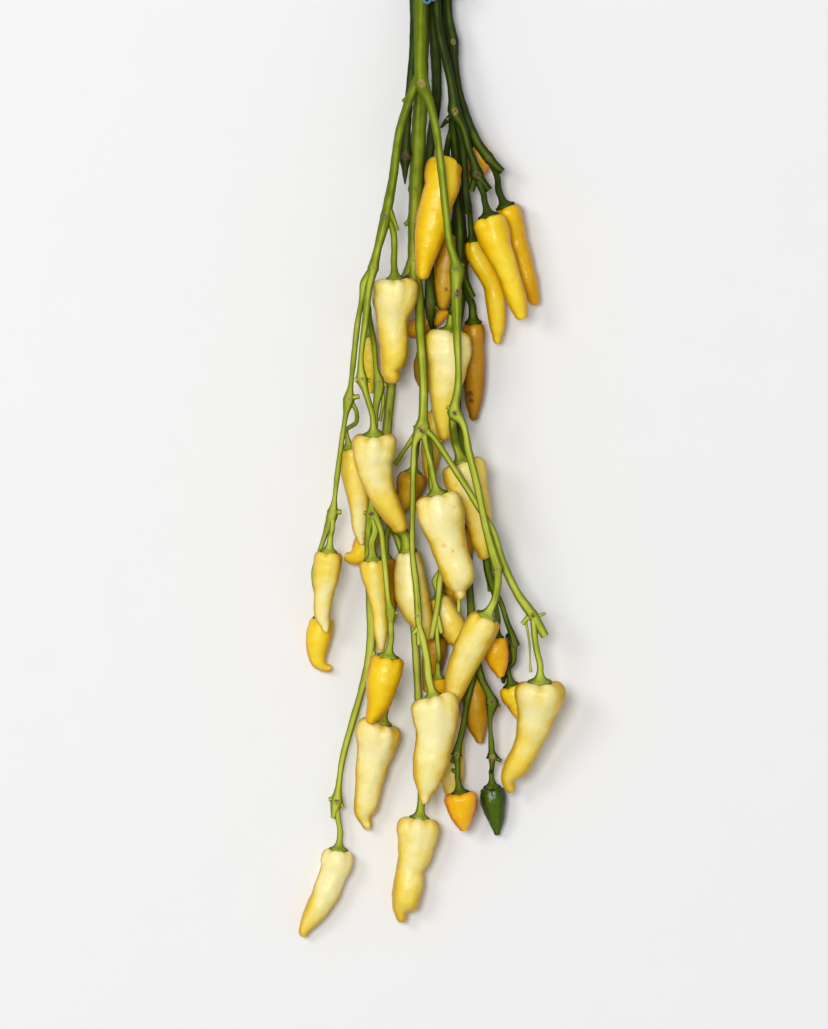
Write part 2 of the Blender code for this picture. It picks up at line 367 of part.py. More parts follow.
    "stem_far_right": ("stem_dark", [
        (None, [(8.5, 45, 8, 2.3), (8.6, 8, 12.5, 2.3), (9.3, -8, 13, 2.2), (11.5, -20.5, 13.5, 2.6),
                (12.5, -35, 14, 2.2), (15.4, -50, 15, 2.3), (20.2, -63.5, 17, 2.4),
                (24.2, -72, 18.5, 2.4), (29.5, -79, 18, 2.6), (32, -82, 17.5, 2.3),
                (36.4, -85.7, 17.5, 1.7)]),
        ("chilli_05", [(30.8, -80.5, 17.7, 2.1), (33.8, -89, 15, 1.6)]),
        ("chilli_07", [(17, -54, 15, 1.5), (19, -60, 10.5, 1.4)]),
    ]),
    "stem_far_left": ("stem_dark", [
        (None, [(-8.3, 45, 12.5, 2.2), (-8.3, 8, 17.3, 2.2), (-8, -12, 19, 2.1), (-8.8, -30, 22, 2),
                (-10.2, -45, 24, 2), (-11.2, -60, 25, 2), (-12, -71, 25, 2.3), (-12.5, -78, 25, 3),
                (-12.5, -84.5, 25, 1.7), (-12.5, -92, 25, 0.4)]),
    ]),
    "stem_middle_back": ("stem_dark", [
        (None, [(1, 45, 3, 2.6), (1, 8, 6.5, 2.6), (1.5, -12, 9, 2.6), (3.2, -35, 9.5, 2.6),
                (3, -52, 9.5, 2.5), (0.5, -70, 10, 2.4), (-0.8, -85, 11, 2.4), (-1.2, -105, 12.5, 2.4),
                (-0.6, -125, 15.5, 2.4), (-0.2, -140, 18.5, 2.4), (0.2, -152, 20, 2.9),
                (0.4, -159, 17, 2.2)]),
        (None, [(0.2, -152, 20, 1.8), (4, -154.5, 20.5, 1)]),
        ("chilli_11", [(0.4, -157, 18, 1.9), (0.6, -162, 14.5, 1.6)]),
    ]),
    "stem_low_right": ("stem_dark", [
        (None, [(6.3, 45, 2.5, 2.2), (6.3, 8, 7, 2.2), (7, -12, 8, 2.2), (10, -35, 7.5, 2.1),
                (12, -50, 7, 2), (12.6, -70, 6, 2), (13.5, -90, 5, 1.9), (16.2, -110, 4, 1.8),
                (17.6, -130, 3.6, 1.7), (16.5, -148, 3.5, 1.7), (14, -164, 3.4, 1.7),
                (13, -185, 3.4, 1.7), (14, -205, 4, 1.8), (16, -225, 6, 1.9), (18.5, -245, 7.5, 1.9),
                (19.6, -262, 8, 1.9), (19.7, -290, 9, 1.9), (20.7, -306, 10, 1.9),
                (22.6, -322, 13.5, 2), (24, -333, 17, 2), (26, -340, 17.5, 1.8), (30, -348, 17.5, 2.2),
                (31, -351, 17.5, 3), (30.2, -358, 17.5, 1.5), (30.7, -372, 16, 1.5), (31, -377, 15, 2),
                (31.3, -379, 14.6, 3)]),
        (None, [(24, -332, 16.8, 1.9), (22, -338, 17, 1.6), (18.8, -350, 17, 1.5),
                (16.2, -365, 17.3, 1.5), (14, -374, 18, 2), (13.2, -378, 18, 2.7)]),
        (None, [(17.5, -236, 7, 1.7), (23, -252, 10, 1.8), (27, -271, 13.5, 1.9), (30, -289, 17, 2.1),
                (32, -295, 17.5, 1.9), (35.3, -301, 18.5, 1.4), (38.6, -311, 18.5, 1.4),
                (41.6, -319, 17.5, 2), (42.5, -323, 16.5, 2.5)]),
        (None, [(30.4, -348.5, 17.5, 1.7), (35, -353.5, 17.5, 0.7)]),
        ("chilli_03", [(17, -140, 3.6, 1.4), (15.4, -145, 4.3, 1.2)]),
        ("chilli_13", [(13, -188, 3.6, 1.3), (8, -194, 6.5, 1.3)]),
        ("chilli_27", [(19.3, -254, 8, 1.3), (17, -257.5, 12, 1.3)]),
        ("chilli_40", [(20.3, -303, 9.7, 1.4), (19, -318, 8, 1.3), (19, -326, 8, 1.3)]),
        ("chilli_41", [(22.4, -336, 17, 1.3), (14.3, -341, 14, 1.2)]),
        ("chilli_38", [(13.3, -378, 18, 1.9), (13.9, -386, 17.7, 1.4)]),
        ("chilli_39", [(31.2, -379, 14.5, 1.6), (31, -385, 11.5, 1.2)]),
        ("chilli_36", [(31.3, -293.5, 17.3, 1.3), (33.2, -304, 16.5, 1.2)]),
        ("chilli_37", [(41.5, -321, 16, 1.2), (39.3, -317.5, 9, 1)]),
        ("chilli_35", [(41.7, -322.5, 16.5, 2), (41.8, -331, 13, 1.3)]),
    ]),
}

# The tie: an oval band of cord turns round the branches, and the small loop that shows below it.
TIE_CENTRE = (0.2, 6.5, 14.9)
TIE_HALF_WIDTH = 14.2
TIE_HALF_HEIGHT = 14.0
TIE_LENGTH = 7.0
TIE_WALL = 1.5
TIE_SIDES = 22
LOOP_CENTRE = (-1.5, 0.0, 28.0)
LOOP_RADIUS = 1.9
LOOP_CORD_RADIUS = 0.7


def clear_scene():
    for item in list(bpy.data.objects):
        bpy.data.objects.remove(item, do_unlink=True)


def make_material(name):
    colour, roughness = MATERIALS[name]
    material = bpy.data.materials.new(name)
    material.use_nodes = True
    shader = material.node_tree.nodes["Principled BSDF"]
    shader.inputs["Base Color"].default_value = (*colour, 1.0)
    shader.inputs["Roughness"].default_value = roughness
    shader.inputs["Metallic"].default_value = 0.0
    material.diffuse_color = (*colour, 1.0)
    return material


def smooth_through(stations, values, at):
    """A cubic through the values at the stations, sloped as the neighbours are, read at given places."""
    stations = np.asarray(stations, float)
    values = np.asarray(values, float)
    at = np.asarray(at, float)
    slopes = np.gradient(values, stations, axis=0)
    span = np.clip(np.searchsorted(stations, at, side="right") - 1, 0, len(stations) - 2)
    width = stations[span + 1] - stations[span]
    part = (at - stations[span]) / width
    if values.ndim > 1:
        width = width[:, None]
        part = part[:, None]
    start = (1 + 2 * part) * (1 - part) ** 2 * values[span]
    end = part ** 2 * (3 - 2 * part) * values[span + 1]
    start_slope = part * (1 - part) ** 2 * width * slopes[span]
    end_slope = part ** 2 * (part - 1) * width * slopes[span + 1]
    return start + end + start_slope + end_slope


def distances_along(points):
    steps = np.linalg.norm(np.diff(np.asarray(points, float), axis=0), axis=1)
    return np.concatenate([[0.0], np.cumsum(steps)])


def fruit_spine(sections, at):
    """Places on the smooth spine at the given parts of its length, and the direction there."""
    points = np.array(sections, float)[:, :3]
    reach = distances_along(points)
    reach = reach / reach[-1]
    centre = smooth_through(reach, points, at)
    ahead = smooth_through(reach, points, np.minimum(at + 0.05, 1.0))
    behind = smooth_through(reach, points, np.maximum(at - 0.05, 0.0))
    direction = ahead - behind
    return centre, direction / np.linalg.norm(direction, axis=1, keepdims=True)


def fruit_radius(sections, seat, at):
    """Half the width along the fruit, rounded in from shoulder to seat and near the tip to a point."""
    sections = np.array(sections, float)
    reach = distances_along(sections[:, :3])
    body = smooth_through(reach / reach[-1], sections[:, 3] / 2, np.clip(at, SHOULDER_AT, TIP_AT))
    crown = np.clip(1 - at / SHOULDER_AT, 0, 1)
    tip = np.clip((at - TIP_AT) / (1 - TIP_AT), 0, 1)
    crown_radius = seat + (body - seat) * np.sqrt(1 - crown ** 2)
    return np.where(at < SHOULDER_AT, crown_radius, body * np.sqrt(1 - tip ** 2))


def lobed(turn, count, offset_degrees, depth):
    """How far the skin stands out at a turn round the fruit: round lobes, narrow grooves between."""
    wave = np.abs(np.cos(0.5 * count * (turn - math.radians(offset_degrees))))
    return 1 - depth * (1 - wave) ** 2


def make_fruit(name, bunch, collection, materials):
    """A sphere whose rings are moved along the spine and pushed out to the lobed outline."""
    skin, detail, sections, (lobes, lobe_turn), calyx = CHILLIES[name]
    rings = np.array(RINGS[detail] + (1.0,))
    seat = calyx + SEAT_MARGIN

    form = bmesh.new()
    bmesh.ops.create_uvsphere(form, u_segments=SIDES[detail], v_segments=len(rings), radius=1.0)
    places = np.array([vertex.co for vertex in form.verts])
    turn = np.arctan2(places[:, 1], places[:, 0])
    ring = np.round(np.arccos(np.clip(places[:, 2], -1, 1)) / math.pi * len(rings)).astype(int) - 1
    at_pole = np.hypot(places[:, 0], places[:, 1]) < 1e-4
    along = np.where(ring < 0, 0.0, rings[np.maximum(ring, 0)])

    centre, direction = fruit_spine(sections, along)
    side = np.cross(direction, (0, 0, 1))
    side /= np.linalg.norm(side, axis=1, keepdims=True)
    front = np.cross(side, direction)
    depth = 0.16 * (1 - along) * np.clip(along / 0.03, 0, 1)
    radius = fruit_radius(sections, seat, along) * lobed(turn, lobes, lobe_turn, depth)
    radius = np.where(at_pole, 0.0, radius)[:, None]
    skin_at = centre + radius * (np.cos(turn)[:, None] * side + np.sin(turn)[:, None] * front)
    skin_at[:, 2] = np.maximum(skin_at[:, 2], 0.0)

    crown = np.array(sections[0][:3], float)
    for vertex, place in zip(form.verts, (skin_at - crown) * MM):
        vertex.co = place
    mesh = bpy.data.meshes.new(name)
    form.to_mesh(mesh)
    form.free()
    mesh.shade_smooth()
    mesh.materials.append(materials["skin_" + skin])

    fruit = bpy.data.objects.new(name, mesh)
    fruit.location = crown * MM
    fruit.parent = bunch
    collection.objects.link(fruit)


def calyx_points(name, stalk_radius):
    """The last points of a stalk: along the fruit's axis, widening to the calyx above the crown."""
    sections = CHILLIES[name][2]
    wide = CHILLIES[name][4]
    crown, direction = fruit_spine(sections, np.array([0.0]))
    rises = (
        (8.0, 1.15 * stalk_radius),
        (3.6, max(1.4 * stalk_radius, 0.45 * wide)),
        (1.3, 0.82 * wide),
        (GAP, wide),
    )
    return [(*(crown[0] - rise * direction[0]), radius) for rise, radius in rises]


def run_points(fruit_name, points):
    """A run's points, with its calyx where it carries a fruit and more points in its long spans."""
    if fruit_name:
        points = points + calyx_points(fruit_name, points[-1][3])
    points = np.array(points, float)
    reach = distances_along(points[:, :3])
    places = [reach[0]]
    for start, end in zip(reach[:-1], reach[1:]):
        parts = max(1, math.ceil((end - start) / STEM_STEP))
        places.extend(start + (end - start) * (np.arange(parts) + 1) / parts)
    return smooth_through(reach, points, np.array(places))


def make_tube(name, points, collection):
    """A capped tube through the points with a radius at each, made a mesh with its caps welded."""
    curve = bpy.data.curves.new(name, "CURVE")
    curve.dimensions = "3D"
    curve.bevel_depth = MM
    curve.bevel_resolution = STEM_BEVEL_RESOLUTION
    curve.use_fill_caps = True
    spline = curve.splines.new("POLY")
    spline.points.add(len(points) - 1)
    for point, (x, y, z, radius) in zip(spline.points, points):
        point.co = (x * MM, y * MM, z * MM, 1.0)
        point.radius = radius
    guide = bpy.data.objects.new(name + "_guide", curve)
    collection.objects.link(guide)

    depsgraph = bpy.context.evaluated_depsgraph_get()
    mesh = bpy.data.meshes.new_from_object(guide.evaluated_get(depsgraph))
    form = bmesh.new()
    form.from_mesh(mesh)
    bmesh.ops.remove_doubles(form, verts=form.verts, dist=1e-6)
    bmesh.ops.recalc_face_normals(form, faces=form.faces)
    form.to_mesh(mesh)
    form.free()
    tube = bpy.data.objects.new(name, mesh)
    tube.matrix_world = guide.matrix_world
    collection.objects.link(tube)
    bpy.data.objects.remove(guide, do_unlink=True)
    bpy.data.curves.remove(curve)
    return tube


def unite(name, tubes, collection):
    """One solid from overlapping tubes: a single union with a collection, then the pieces removed."""
    pieces = bpy.data.collections.new(name + "_pieces")
    bpy.context.scene.collection.children.link(pieces)
    for tube in tubes[1:]:
        pieces.objects.link(tube)
        collection.objects.unlink(tube)
    whole = tubes[0]
    if tubes[1:]:
        union = whole.modifiers.new("union", "BOOLEAN")
        union.operation = "UNION"
        union.solver = "EXACT"
        union.operand_type = "COLLECTION"
        union.collection = pieces
    depsgraph = bpy.context.evaluated_depsgraph_get()
    mesh = bpy.data.meshes.new_from_object(whole.evaluated_get(depsgraph))
    mesh.name = name
    for tube in tubes[1:]:
        bpy.data.objects.remove(tube, do_unlink=True)
    bpy.data.collections.remove(pieces)
    bpy.data.objects.remove(whole, do_unlink=True)
    return mesh


def make_stem(name, bunch, collection, materials):
    material, runs = STEMS[name]
    tubes = []
    for number, (fruit_name, points) in enumerate(runs):
        tubes.append(make_tube(f"{name}_run_{number}", run_points(fruit_name, points), collection))
    mesh = unite(name, tubes, collection)
    mesh.shade_smooth()
    mesh.materials.clear()
    mesh.materials.append(materials[material])
    stem = bpy.data.objects.new(name, mesh)
    stem.parent = bunch
    collection.objects.link(stem)


def make_tie(bunch, collection, materials):
    """The band is an oval tube thickened inwards, and the loop a small ring tucked under its edge."""
    bpy.ops.mesh.primitive_cylinder_add(
        vertices=TIE_SIDES, radius=1.0, depth=TIE_LENGTH * MM, end_fill_type="NOTHING"
    )
    band = bpy.context.object
    band.name = "tie_band"
    band.data.name = "tie_band"
    for vertex in band.data.vertices:
        across, up, along = vertex.co
        vertex.co = (across * TIE_HALF_WIDTH * MM, along, up * TIE_HALF_HEIGHT * MM)
    band.data.flip_normals()
    wall = band.modifiers.new("wall", "SOLIDIFY")
    wall.thickness = TIE_WALL * MM
    wall.offset = -1.0
    edge = band.modifiers.new("edge", "BEVEL")
    edge.width = 0.5 * MM
    edge.segments = 1
    edge.limit_method = "ANGLE"
    band.location = [value * MM for value in TIE_CENTRE]

    bpy.ops.mesh.primitive_torus_add(
        major_radius=LOOP_RADIUS * MM,
        minor_radius=LOOP_CORD_RADIUS * MM,
        major_segments=12,
        minor_segments=6,
    )
    loop = bpy.context.object
    loop.name = "tie_loop"
    loop.data.name = "tie_loop"
    loop.location = [value * MM for value in LOOP_CENTRE]

    for piece in (band, loop):
        piece.data.materials.append(materials["tie_blue"])
        piece.data.shade_smooth()
        piece.parent = bunch
        for home in list(piece.users_collection):
            home.objects.unlink(piece)
        collection.objects.link(piece)


def main():
    clear_scene()
    collection = bpy.data.collections.new("chilli_bunch")
    bpy.context.scene.collection.children.link(collection)
    materials = {name: make_material(name) for name in MATERIALS}

    bunch = bpy.data.objects.new("bunch", None)
    bunch.location = [value * MM for value in ORIGIN_SHIFT]
    collection.objects.link(bunch)
    for name in CHILLIES:
        make_fruit(name, bunch, collection, materials)
    for name in STEMS:
        make_stem(name, bunch, collection, materials)
    make_tie(bunch, collection, materials)


main()
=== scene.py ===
"""The look of a hanging bunch of fresh chillies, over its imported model.

The fruits, ribbed branches and blue tie are surfaces worked out from the same tables as the model's
solids. Places are in millimetres on the table that the bunch lies on: x to the right, y up towards
the tie, z up from the surface. A turn round a fruit starts at its left and passes the side that shows.
"""

import math

import bpy
import numpy as np
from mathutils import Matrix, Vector

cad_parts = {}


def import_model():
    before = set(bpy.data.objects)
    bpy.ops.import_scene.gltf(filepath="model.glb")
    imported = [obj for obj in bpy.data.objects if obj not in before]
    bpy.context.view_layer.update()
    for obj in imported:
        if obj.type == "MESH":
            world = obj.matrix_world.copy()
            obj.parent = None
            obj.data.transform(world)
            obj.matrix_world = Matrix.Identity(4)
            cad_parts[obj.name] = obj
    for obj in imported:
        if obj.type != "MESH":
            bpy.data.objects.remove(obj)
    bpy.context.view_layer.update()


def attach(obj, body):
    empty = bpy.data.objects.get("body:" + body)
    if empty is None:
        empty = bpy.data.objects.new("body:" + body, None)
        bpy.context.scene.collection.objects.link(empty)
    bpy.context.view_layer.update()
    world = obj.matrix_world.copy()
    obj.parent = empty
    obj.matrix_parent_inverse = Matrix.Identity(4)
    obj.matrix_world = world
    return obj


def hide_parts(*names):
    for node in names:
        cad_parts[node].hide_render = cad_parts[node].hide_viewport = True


MM = 0.001
ORIGIN_SHIFT = np.array([-0.65, 211.79, 0.0])

# The photo's frame: half a millimetre a pixel, with the tie's lower edge at the top of the picture.
PIXEL = 0.5
PHOTO_WIDTH = 828
PHOTO_HEIGHT = 1029
PHOTO_ZERO_X = 430
# The camera's height and the bunch's middle height, in metres.
CAMERA_HEIGHT = 7.0
MIDDLE_HEIGHT = 0.025

# Lamps: place, size and power.
LAMPS = {
    "top": ((-0.7, 0.4, 5.0), (1.3, 1.3), 121.0),
    "key": ((-1.5, 0.7, 2.4), (0.8, 1.0), 19.0),
    "fill": ((1.4, -0.3, 2.6), (0.6, 0.9), 2.0),
}
SKY_STRENGTH = 0.33

# A fruit's skin: the parts of its length where its crown ends and its tip starts, how square the crown
# is, how deep (of the radius) and how wide (in degrees) its grooves are, the part of the length in which
# they fade and what stays of them, how far its crown swells and sinks (of the shoulder's radius), and its
# waves: number round the fruit and size, number along it.
SHOULDER_AT = 0.08
TIP_AT = 0.93
CROWN_SQUARENESS = 0.74
GROOVE_DEPTH = 0.11
GROOVE_SPREAD = 15
GROOVE_FADES = 0.15
GROOVE_STAYS = 0.12
CROWN_SWELL = 0.07
CROWN_SINK = 0.12
BODY_WAVES = ((1, 0.012), (2, 0.014), (3, 0.012), (4, 0.008), (5, 0.005))
LENGTH_WAVES = (2.3, 3.9, 6.1)
LENGTH_WAVE_SIZE = 0.008
GRIDS = {
    # detail: (rows on the crown, rows on the body, rows on the tip, columns)
    "near": (16, 56, 12, 72),
    "middle": (12, 36, 8, 56),
    "far": (8, 26, 6, 40),
}

# A branch: columns round it, step along it, its thinnest radius and the share of its width that a cut
# face has. A stalk widens a little and goes on at these distances before the crown, then flares into the
# calyx at these heights above it, by exponentials that fall over these heights.
STEM_COLUMNS = 22
STEM_STEP = 1.5
STEM_THINNEST = 0.3
CUT_FACE = 0.82
STALK_WIDENING = 1.05
STALK_STEPS = np.array([8.0, 6.0, 4.0])
CALYX_RISES = np.array([3.4, 2.9, 2.45, 2.05, 1.7, 1.4, 1.15, 0.95, 0.8, 0.7])
CALYX_FALL = 1.25
FLARE_FALL = 1.6
FAR_FROM_CROWN = 50.0
# The calyx's rim: its height above the crown and how much lower a tooth hangs, its width and how much
# further out a tooth reaches, as shares of the calyx's radius.
RIM_RISE = 0.35
TOOTH_DROP = 0.55
RIM_WIDTH = 1.02
TOOTH_WIDTH = 0.13

# A cord: columns round it, how fast its strands turn in radians a millimetre, and how deep they part.
CORD_COLUMNS = 18
CORD_TWIST = 1.9
CORD_PARTS = 0.14

# Each fruit: skin, detail, sections from the middle of its crown to its tip, each with its place and
# width (x, y, z, width), then the number and turn in degrees of its lobes and the radius of its calyx.
CHILLIES = {
    "chilli_01": ("yellow", "near", [
        (7.5, -80.5, 22.5, 18.5), (6.6, -86, 25, 19), (6, -93.5, 28, 17.8), (3.9, -100, 29, 17),
        (1.9, -107.5, 29.6, 16.6), (0.4, -115, 30, 15.6), (-1.1, -122.5, 30.4, 13.1),
        (-2.3, -129, 30.7, 10.5), (-3.2, -135, 30.9, 7.6), (-4, -140, 31, 4.2),
    ], (3, 20), 5.5),
    "chilli_02": ("golden", "middle", [
        (11, -117, 11.5, 12.5), (9.5, -127, 12, 14), (7.5, -137, 12.5, 13.5), (6.8, -145, 13, 12),
        (6.3, -151, 13.5, 8.5), (6.5, -155, 13.8, 4),
    ], (3, 50), 4),
    "chilli_03": ("orange", "far", [
        (7.5, -153.5, 5, 8), (3.5, -157.5, 5, 9.6), (-1, -160.8, 4.9, 9.6), (-5.5, -163.3, 4.6, 9.5),
        (-9, -165, 4.2, 8), (-11.6, -166, 4, 5),
    ], (3, 0), 2.6),
    "chilli_04": ("yellow", "near", [
        (29.3, -108.2, 26, 17), (31.1, -115, 26, 17.2), (33.1, -122.5, 26, 15.3),
        (36.5, -130, 25.6, 13.2), (39.5, -137.5, 25.2, 11.3), (41.9, -145, 24.4, 10.7),
        (43.9, -151.5, 23.4, 9.8), (45.3, -156.5, 22.6, 7), (46.5, -159.8, 22, 3.8),
    ], (3, 30), 5.2),
    "chilli_05": ("yellow", "near", [
        (37.5, -103, 12, 14.5), (39.3, -107.5, 11.8, 15), (41.2, -112.5, 11.4, 12.7),
        (43, -120, 11, 11.6), (45.5, -127.5, 10.3, 10.8), (47.5, -135, 9.7, 10.2),
        (49.5, -142.5, 9, 9.8), (51.3, -147.5, 8.4, 7.3), (53.4, -152.2, 8, 3.6),
    ], (4, 10), 4.8),
    "chilli_06": ("yellow", "near", [
        (21.3, -120.3, 15, 8.5), (22, -125, 14.9, 9.2), (25.2, -131, 14.5, 10), (28.5, -136.5, 14, 9.6),
        (31.3, -142.5, 13, 9.3), (32.9, -150, 12, 10.1), (33.5, -157.5, 11, 9.4), (33.8, -164, 10, 7.5),
        (33.8, -168.5, 9.4, 4.7), (33.7, -171.7, 9, 2.5),
    ], (3, 80), 3.4),
    "chilli_07": ("orange", "far", [
        (22.5, -72.5, 7, 10), (24, -77, 6.6, 12.5), (24.2, -82, 6.2, 12), (22, -87, 5.6, 9.5),
        (19.8, -90.5, 5.2, 5.5), (19, -92, 5, 3),
    ], (3, 0), 3.2),
    "chilli_08": ("cream", "near", [
        (-17.5, -139.6, 32, 22.5), (-17.3, -144, 31.8, 23.3), (-17.9, -149, 31.4, 23.2),
        (-18.6, -154, 31, 20.2), (-19.1, -159, 30.8, 16.3), (-18.9, -165, 30.4, 14.9),
        (-18.3, -171, 30, 14.6), (-18.2, -177.5, 29.5, 13.8), (-18.8, -182, 29, 12),
        (-19.8, -185.5, 28.8, 9.2), (-18.6, -189, 28.6, 7.8), (-18, -191.8, 28.5, 4),
    ], (4, 20), 4.4),
    "chilli_09": ("yellow", "far", [
        (-30.7, -168.3, 6, 8), (-30.5, -176, 5.7, 8.6), (-30.4, -184, 5.4, 8), (-30, -191, 5.1, 6),
        (-29.7, -196.5, 5, 3),
    ], (3, 0), 2.6),
    "chilli_10": ("cream", "near", [
        (9.8, -165.2, 26, 22), (9.4, -170, 25.7, 22.7), (9.5, -175, 25.4, 22.7), (9.1, -180, 25, 21.2),
        (8.3, -187.5, 24.6, 18.5), (7.4, -195, 24.2, 15.8), (7, -202.5, 23.8, 13),
        (6.9, -209, 23.5, 10.6), (7.1, -215, 23.2, 8), (7.3, -220.2, 23, 4.5),
    ], (3, 60), 5),
    "chilli_11": ("golden", "far", [
        (0.5, -173, 8.5, 11.5), (-0.6, -179, 7.8, 13.5), (-1.6, -185, 7, 13.2), (-1.7, -191, 6.4, 10),
        (-1.5, -196, 6, 4),
    ], (3, 0), 3.6),
    "chilli_12": ("golden", "middle", [
        (21.8, -161.2, 11, 10.5), (22, -165, 10.7, 11.2), (21.8, -172.5, 10, 11.5), (22, -180, 9.4, 12),
        (22.2, -187.5, 8.7, 11.3), (22.2, -195, 8, 10.3), (22, -201, 7.5, 8.5), (22, -205.5, 7.2, 6),
        (22, -210.2, 7, 2.6),
    ], (3, 40), 4.2),
    "chilli_13": ("cream", "middle", [
        (4, -205.5, 8, 11), (3, -213, 7.6, 12), (1, -222, 7, 11), (0.3, -229, 6.5, 9.5),
        (0, -235, 6.2, 7), (0, -240.5, 6, 3.5),
    ], (3, 20), 3.6),
    "chilli_14": ("golden", "middle", [
        (-8.5, -236.5, 12, 14), (-9.3, -241, 12, 15.5), (-10.8, -246, 12.2, 13),
        (-12.8, -251, 12.6, 9.5), (-14.2, -255, 13, 5.5), (-14.8, -257, 13, 3),
    ], (4, 20), 4.6),
    "chilli_15": ("cream", "near", [
        (-28, -217.2, 43.5, 22), (-27.8, -221.5, 42.6, 22.5), (-28, -226, 41.8, 21),
        (-27.9, -231.5, 40.7, 19.2), (-26.9, -237.5, 39.6, 17.2), (-25, -243.5, 38.4, 15),
        (-22.8, -249, 37.4, 13.6), (-20.2, -254, 36.3, 12.4), (-17.4, -258.5, 35.3, 11),
        (-15.3, -262.5, 34.5, 8.5), (-14.3, -266.2, 34, 5),
    ], (4, 45), 5),
    "chilli_16": ("cream", "near", [
        (-40.3, -223.7, 22, 11), (-39.5, -227.5, 21.4, 12), (-38.5, -235, 20.2, 12.6),
        (-37, -242.5, 19.2, 12), (-35.7, -250, 18.3, 11), (-35.2, -257.5, 17.5, 9.2),
        (-35.3, -264, 16.9, 7.4), (-34.7, -268.5, 16.4, 5), (-34, -272.6, 16, 2.6),
    ], (3, 0), 4),
    "chilli_17": ("yellow", "middle", [
        (-28.3, -259, 8, 10), (-30, -266, 7, 12), (-33, -273, 6.3, 11.5), (-36.5, -278, 6.2, 9.5),
        (-40, -278.8, 6, 6.2), (-43, -277.9, 6, 3),
    ], (3, 0), 3.6),
    "chilli_18": ("cream", "near", [
        (-50.6, -275.8, 25, 13.5), (-51.2, -281, 24.3, 14.6), (-51.7, -286.5, 23.5, 13.8),
        (-52.5, -292.5, 22.6, 12), (-53.1, -298.5, 21.7, 10), (-53.8, -304, 20.9, 9.1),
        (-53.8, -308.5, 20.5, 7.8), (-52.6, -312.5, 20.2, 5.2), (-52, -316.3, 20, 2.4),
    ], (3, 30), 4.2),
    "chilli_19": ("yellow", "near", [
        (-54.5, -309, 8, 12.5), (-54.5, -313, 7.8, 13), (-55.7, -318, 7.3, 13.5), (-56.3, -323, 7, 12),
        (-56.5, -327.5, 6.7, 9.8), (-55.6, -331.3, 6.5, 7.6), (-53.2, -333.6, 6.3, 5),
        (-50.8, -334.2, 6, 3.4), (-49.2, -334, 6, 2.2),
    ], (3, 70), 4),
    "chilli_20": ("cream", "near", [
        (-28.7, -280, 26, 13.5), (-28.5, -283, 25.8, 14), (-28.2, -287.5, 25.4, 12.5),
        (-27.2, -292.5, 25, 10.5), (-26.4, -298.5, 24.6, 8.7), (-25.4, -305, 24.2, 7.7),
        (-24.8, -311, 23.8, 7.5), (-24.6, -317, 23.5, 6.9), (-24.5, -321.5, 23.2, 5),
        (-24.5, -325.7, 23, 2.6),
    ], (3, 0), 4.3),
    "chilli_21": ("golden", "far", [
        (-22, -279, 8, 9.5), (-21.9, -287, 7, 10.5), (-21.5, -295, 6, 9.8), (-20.5, -304, 5.4, 8),
        (-19.6, -311, 5, 3.5),
    ], (3, 0), 3),
    "chilli_22": ("cream", "near", [
        (-11, -275.8, 19, 13), (-10.4, -280, 18.9, 14), (-10.1, -286, 18.7, 15.3),
        (-9.6, -292.5, 18.6, 16.3), (-8.6, -299, 18.5, 17), (-6.9, -305, 18.2, 15.5),
        (-4.3, -310, 17.6, 12.6), (-2.1, -315, 16.9, 8.8), (0, -320, 16, 4),
    ], (3, 45), 4.6),
    "chilli_23": ("cream", "middle", [
        (4.8, -298.5, 14.6, 10.5), (6.9, -304.5, 14.6, 12.5), (9.6, -310.5, 14.5, 14),
        (12.8, -316, 14.2, 13), (15.2, -320.5, 13.8, 10), (16.4, -323.5, 13.4, 6),
    ], (3, 30), 3.6),
    "chilli_24": ("golden", "far", [
        (9, -286, 9, 8), (10.5, -292, 6, 9), (11, -297.5, 4.8, 8.6), (10.8, -302, 4.5, 6),
        (10.7, -304.5, 4.5, 3.5),
    ], (3, 0), 2.6),
    "chilli_25": ("cream", "near", [
        (3.4, -246.8, 39.5, 22.2), (4.6, -252.5, 39, 23.2), (5.4, -257.5, 38.7, 23.2),
        (6.8, -263.5, 38.3, 21.2), (8.7, -270, 38, 18.8), (10.4, -276, 37.6, 17.8),
        (12.3, -281, 37.3, 17.5), (14, -286, 36.9, 17.3), (14.5, -290.5, 36.5, 15.6),
        (14.5, -294, 36.3, 10.5), (15, -296.5, 36.1, 5.2), (15.1, -299.8, 36, 4.2),
    ], (4, 15), 5.2),
    "chilli_26": ("cream", "near", [
        (15.8, -230.8, 24.5, 21.5), (17.2, -235, 24.2, 22.8), (18, -240, 23.9, 22),
        (20.3, -246, 23.4, 18.2), (22.6, -252.5, 23, 15.6), (24.3, -259, 22.6, 13.8),
        (25.2, -265, 22.2, 11.8), (25.7, -270.5, 22, 10), (26.5, -275, 21.7, 7.5),
        (27.4, -279.8, 21.5, 4),
    ], (4, 60), 5.2),
    "chilli_27": ("golden", "far", [
        (16.5, -264.5, 15.5, 8), (17.6, -269, 15.2, 9), (18.6, -273.5, 14.8, 7.5),
        (19.2, -278.5, 14.5, 4),
    ], (3, 0), 2.8),
    "chilli_28": ("cream", "near", [
        (28.5, -308, 34, 15.5), (26.3, -312.5, 33, 17), (22.5, -319.5, 31.2, 16.8),
        (18.5, -327.5, 28.6, 15.6), (15, -336, 26, 14.3), (12.9, -342.5, 24, 12.2),
        (11.7, -348, 22.5, 9), (10.8, -352.5, 21, 5),
    ], (3, 100), 5.2),
    "chilli_29": ("cream", "near", [
        (1.4, -347.8, 35, 22), (2.4, -352.5, 34.8, 23.4), (2.5, -357.5, 34.5, 22.8),
        (2.7, -363.5, 34.1, 20.2), (2.3, -369, 33.8, 18.5), (1.3, -375, 33.5, 18.3),
        (0.3, -381, 33.1, 17.4), (-0.8, -387, 32.6, 15.3), (-1.6, -392.5, 32, 11.6),
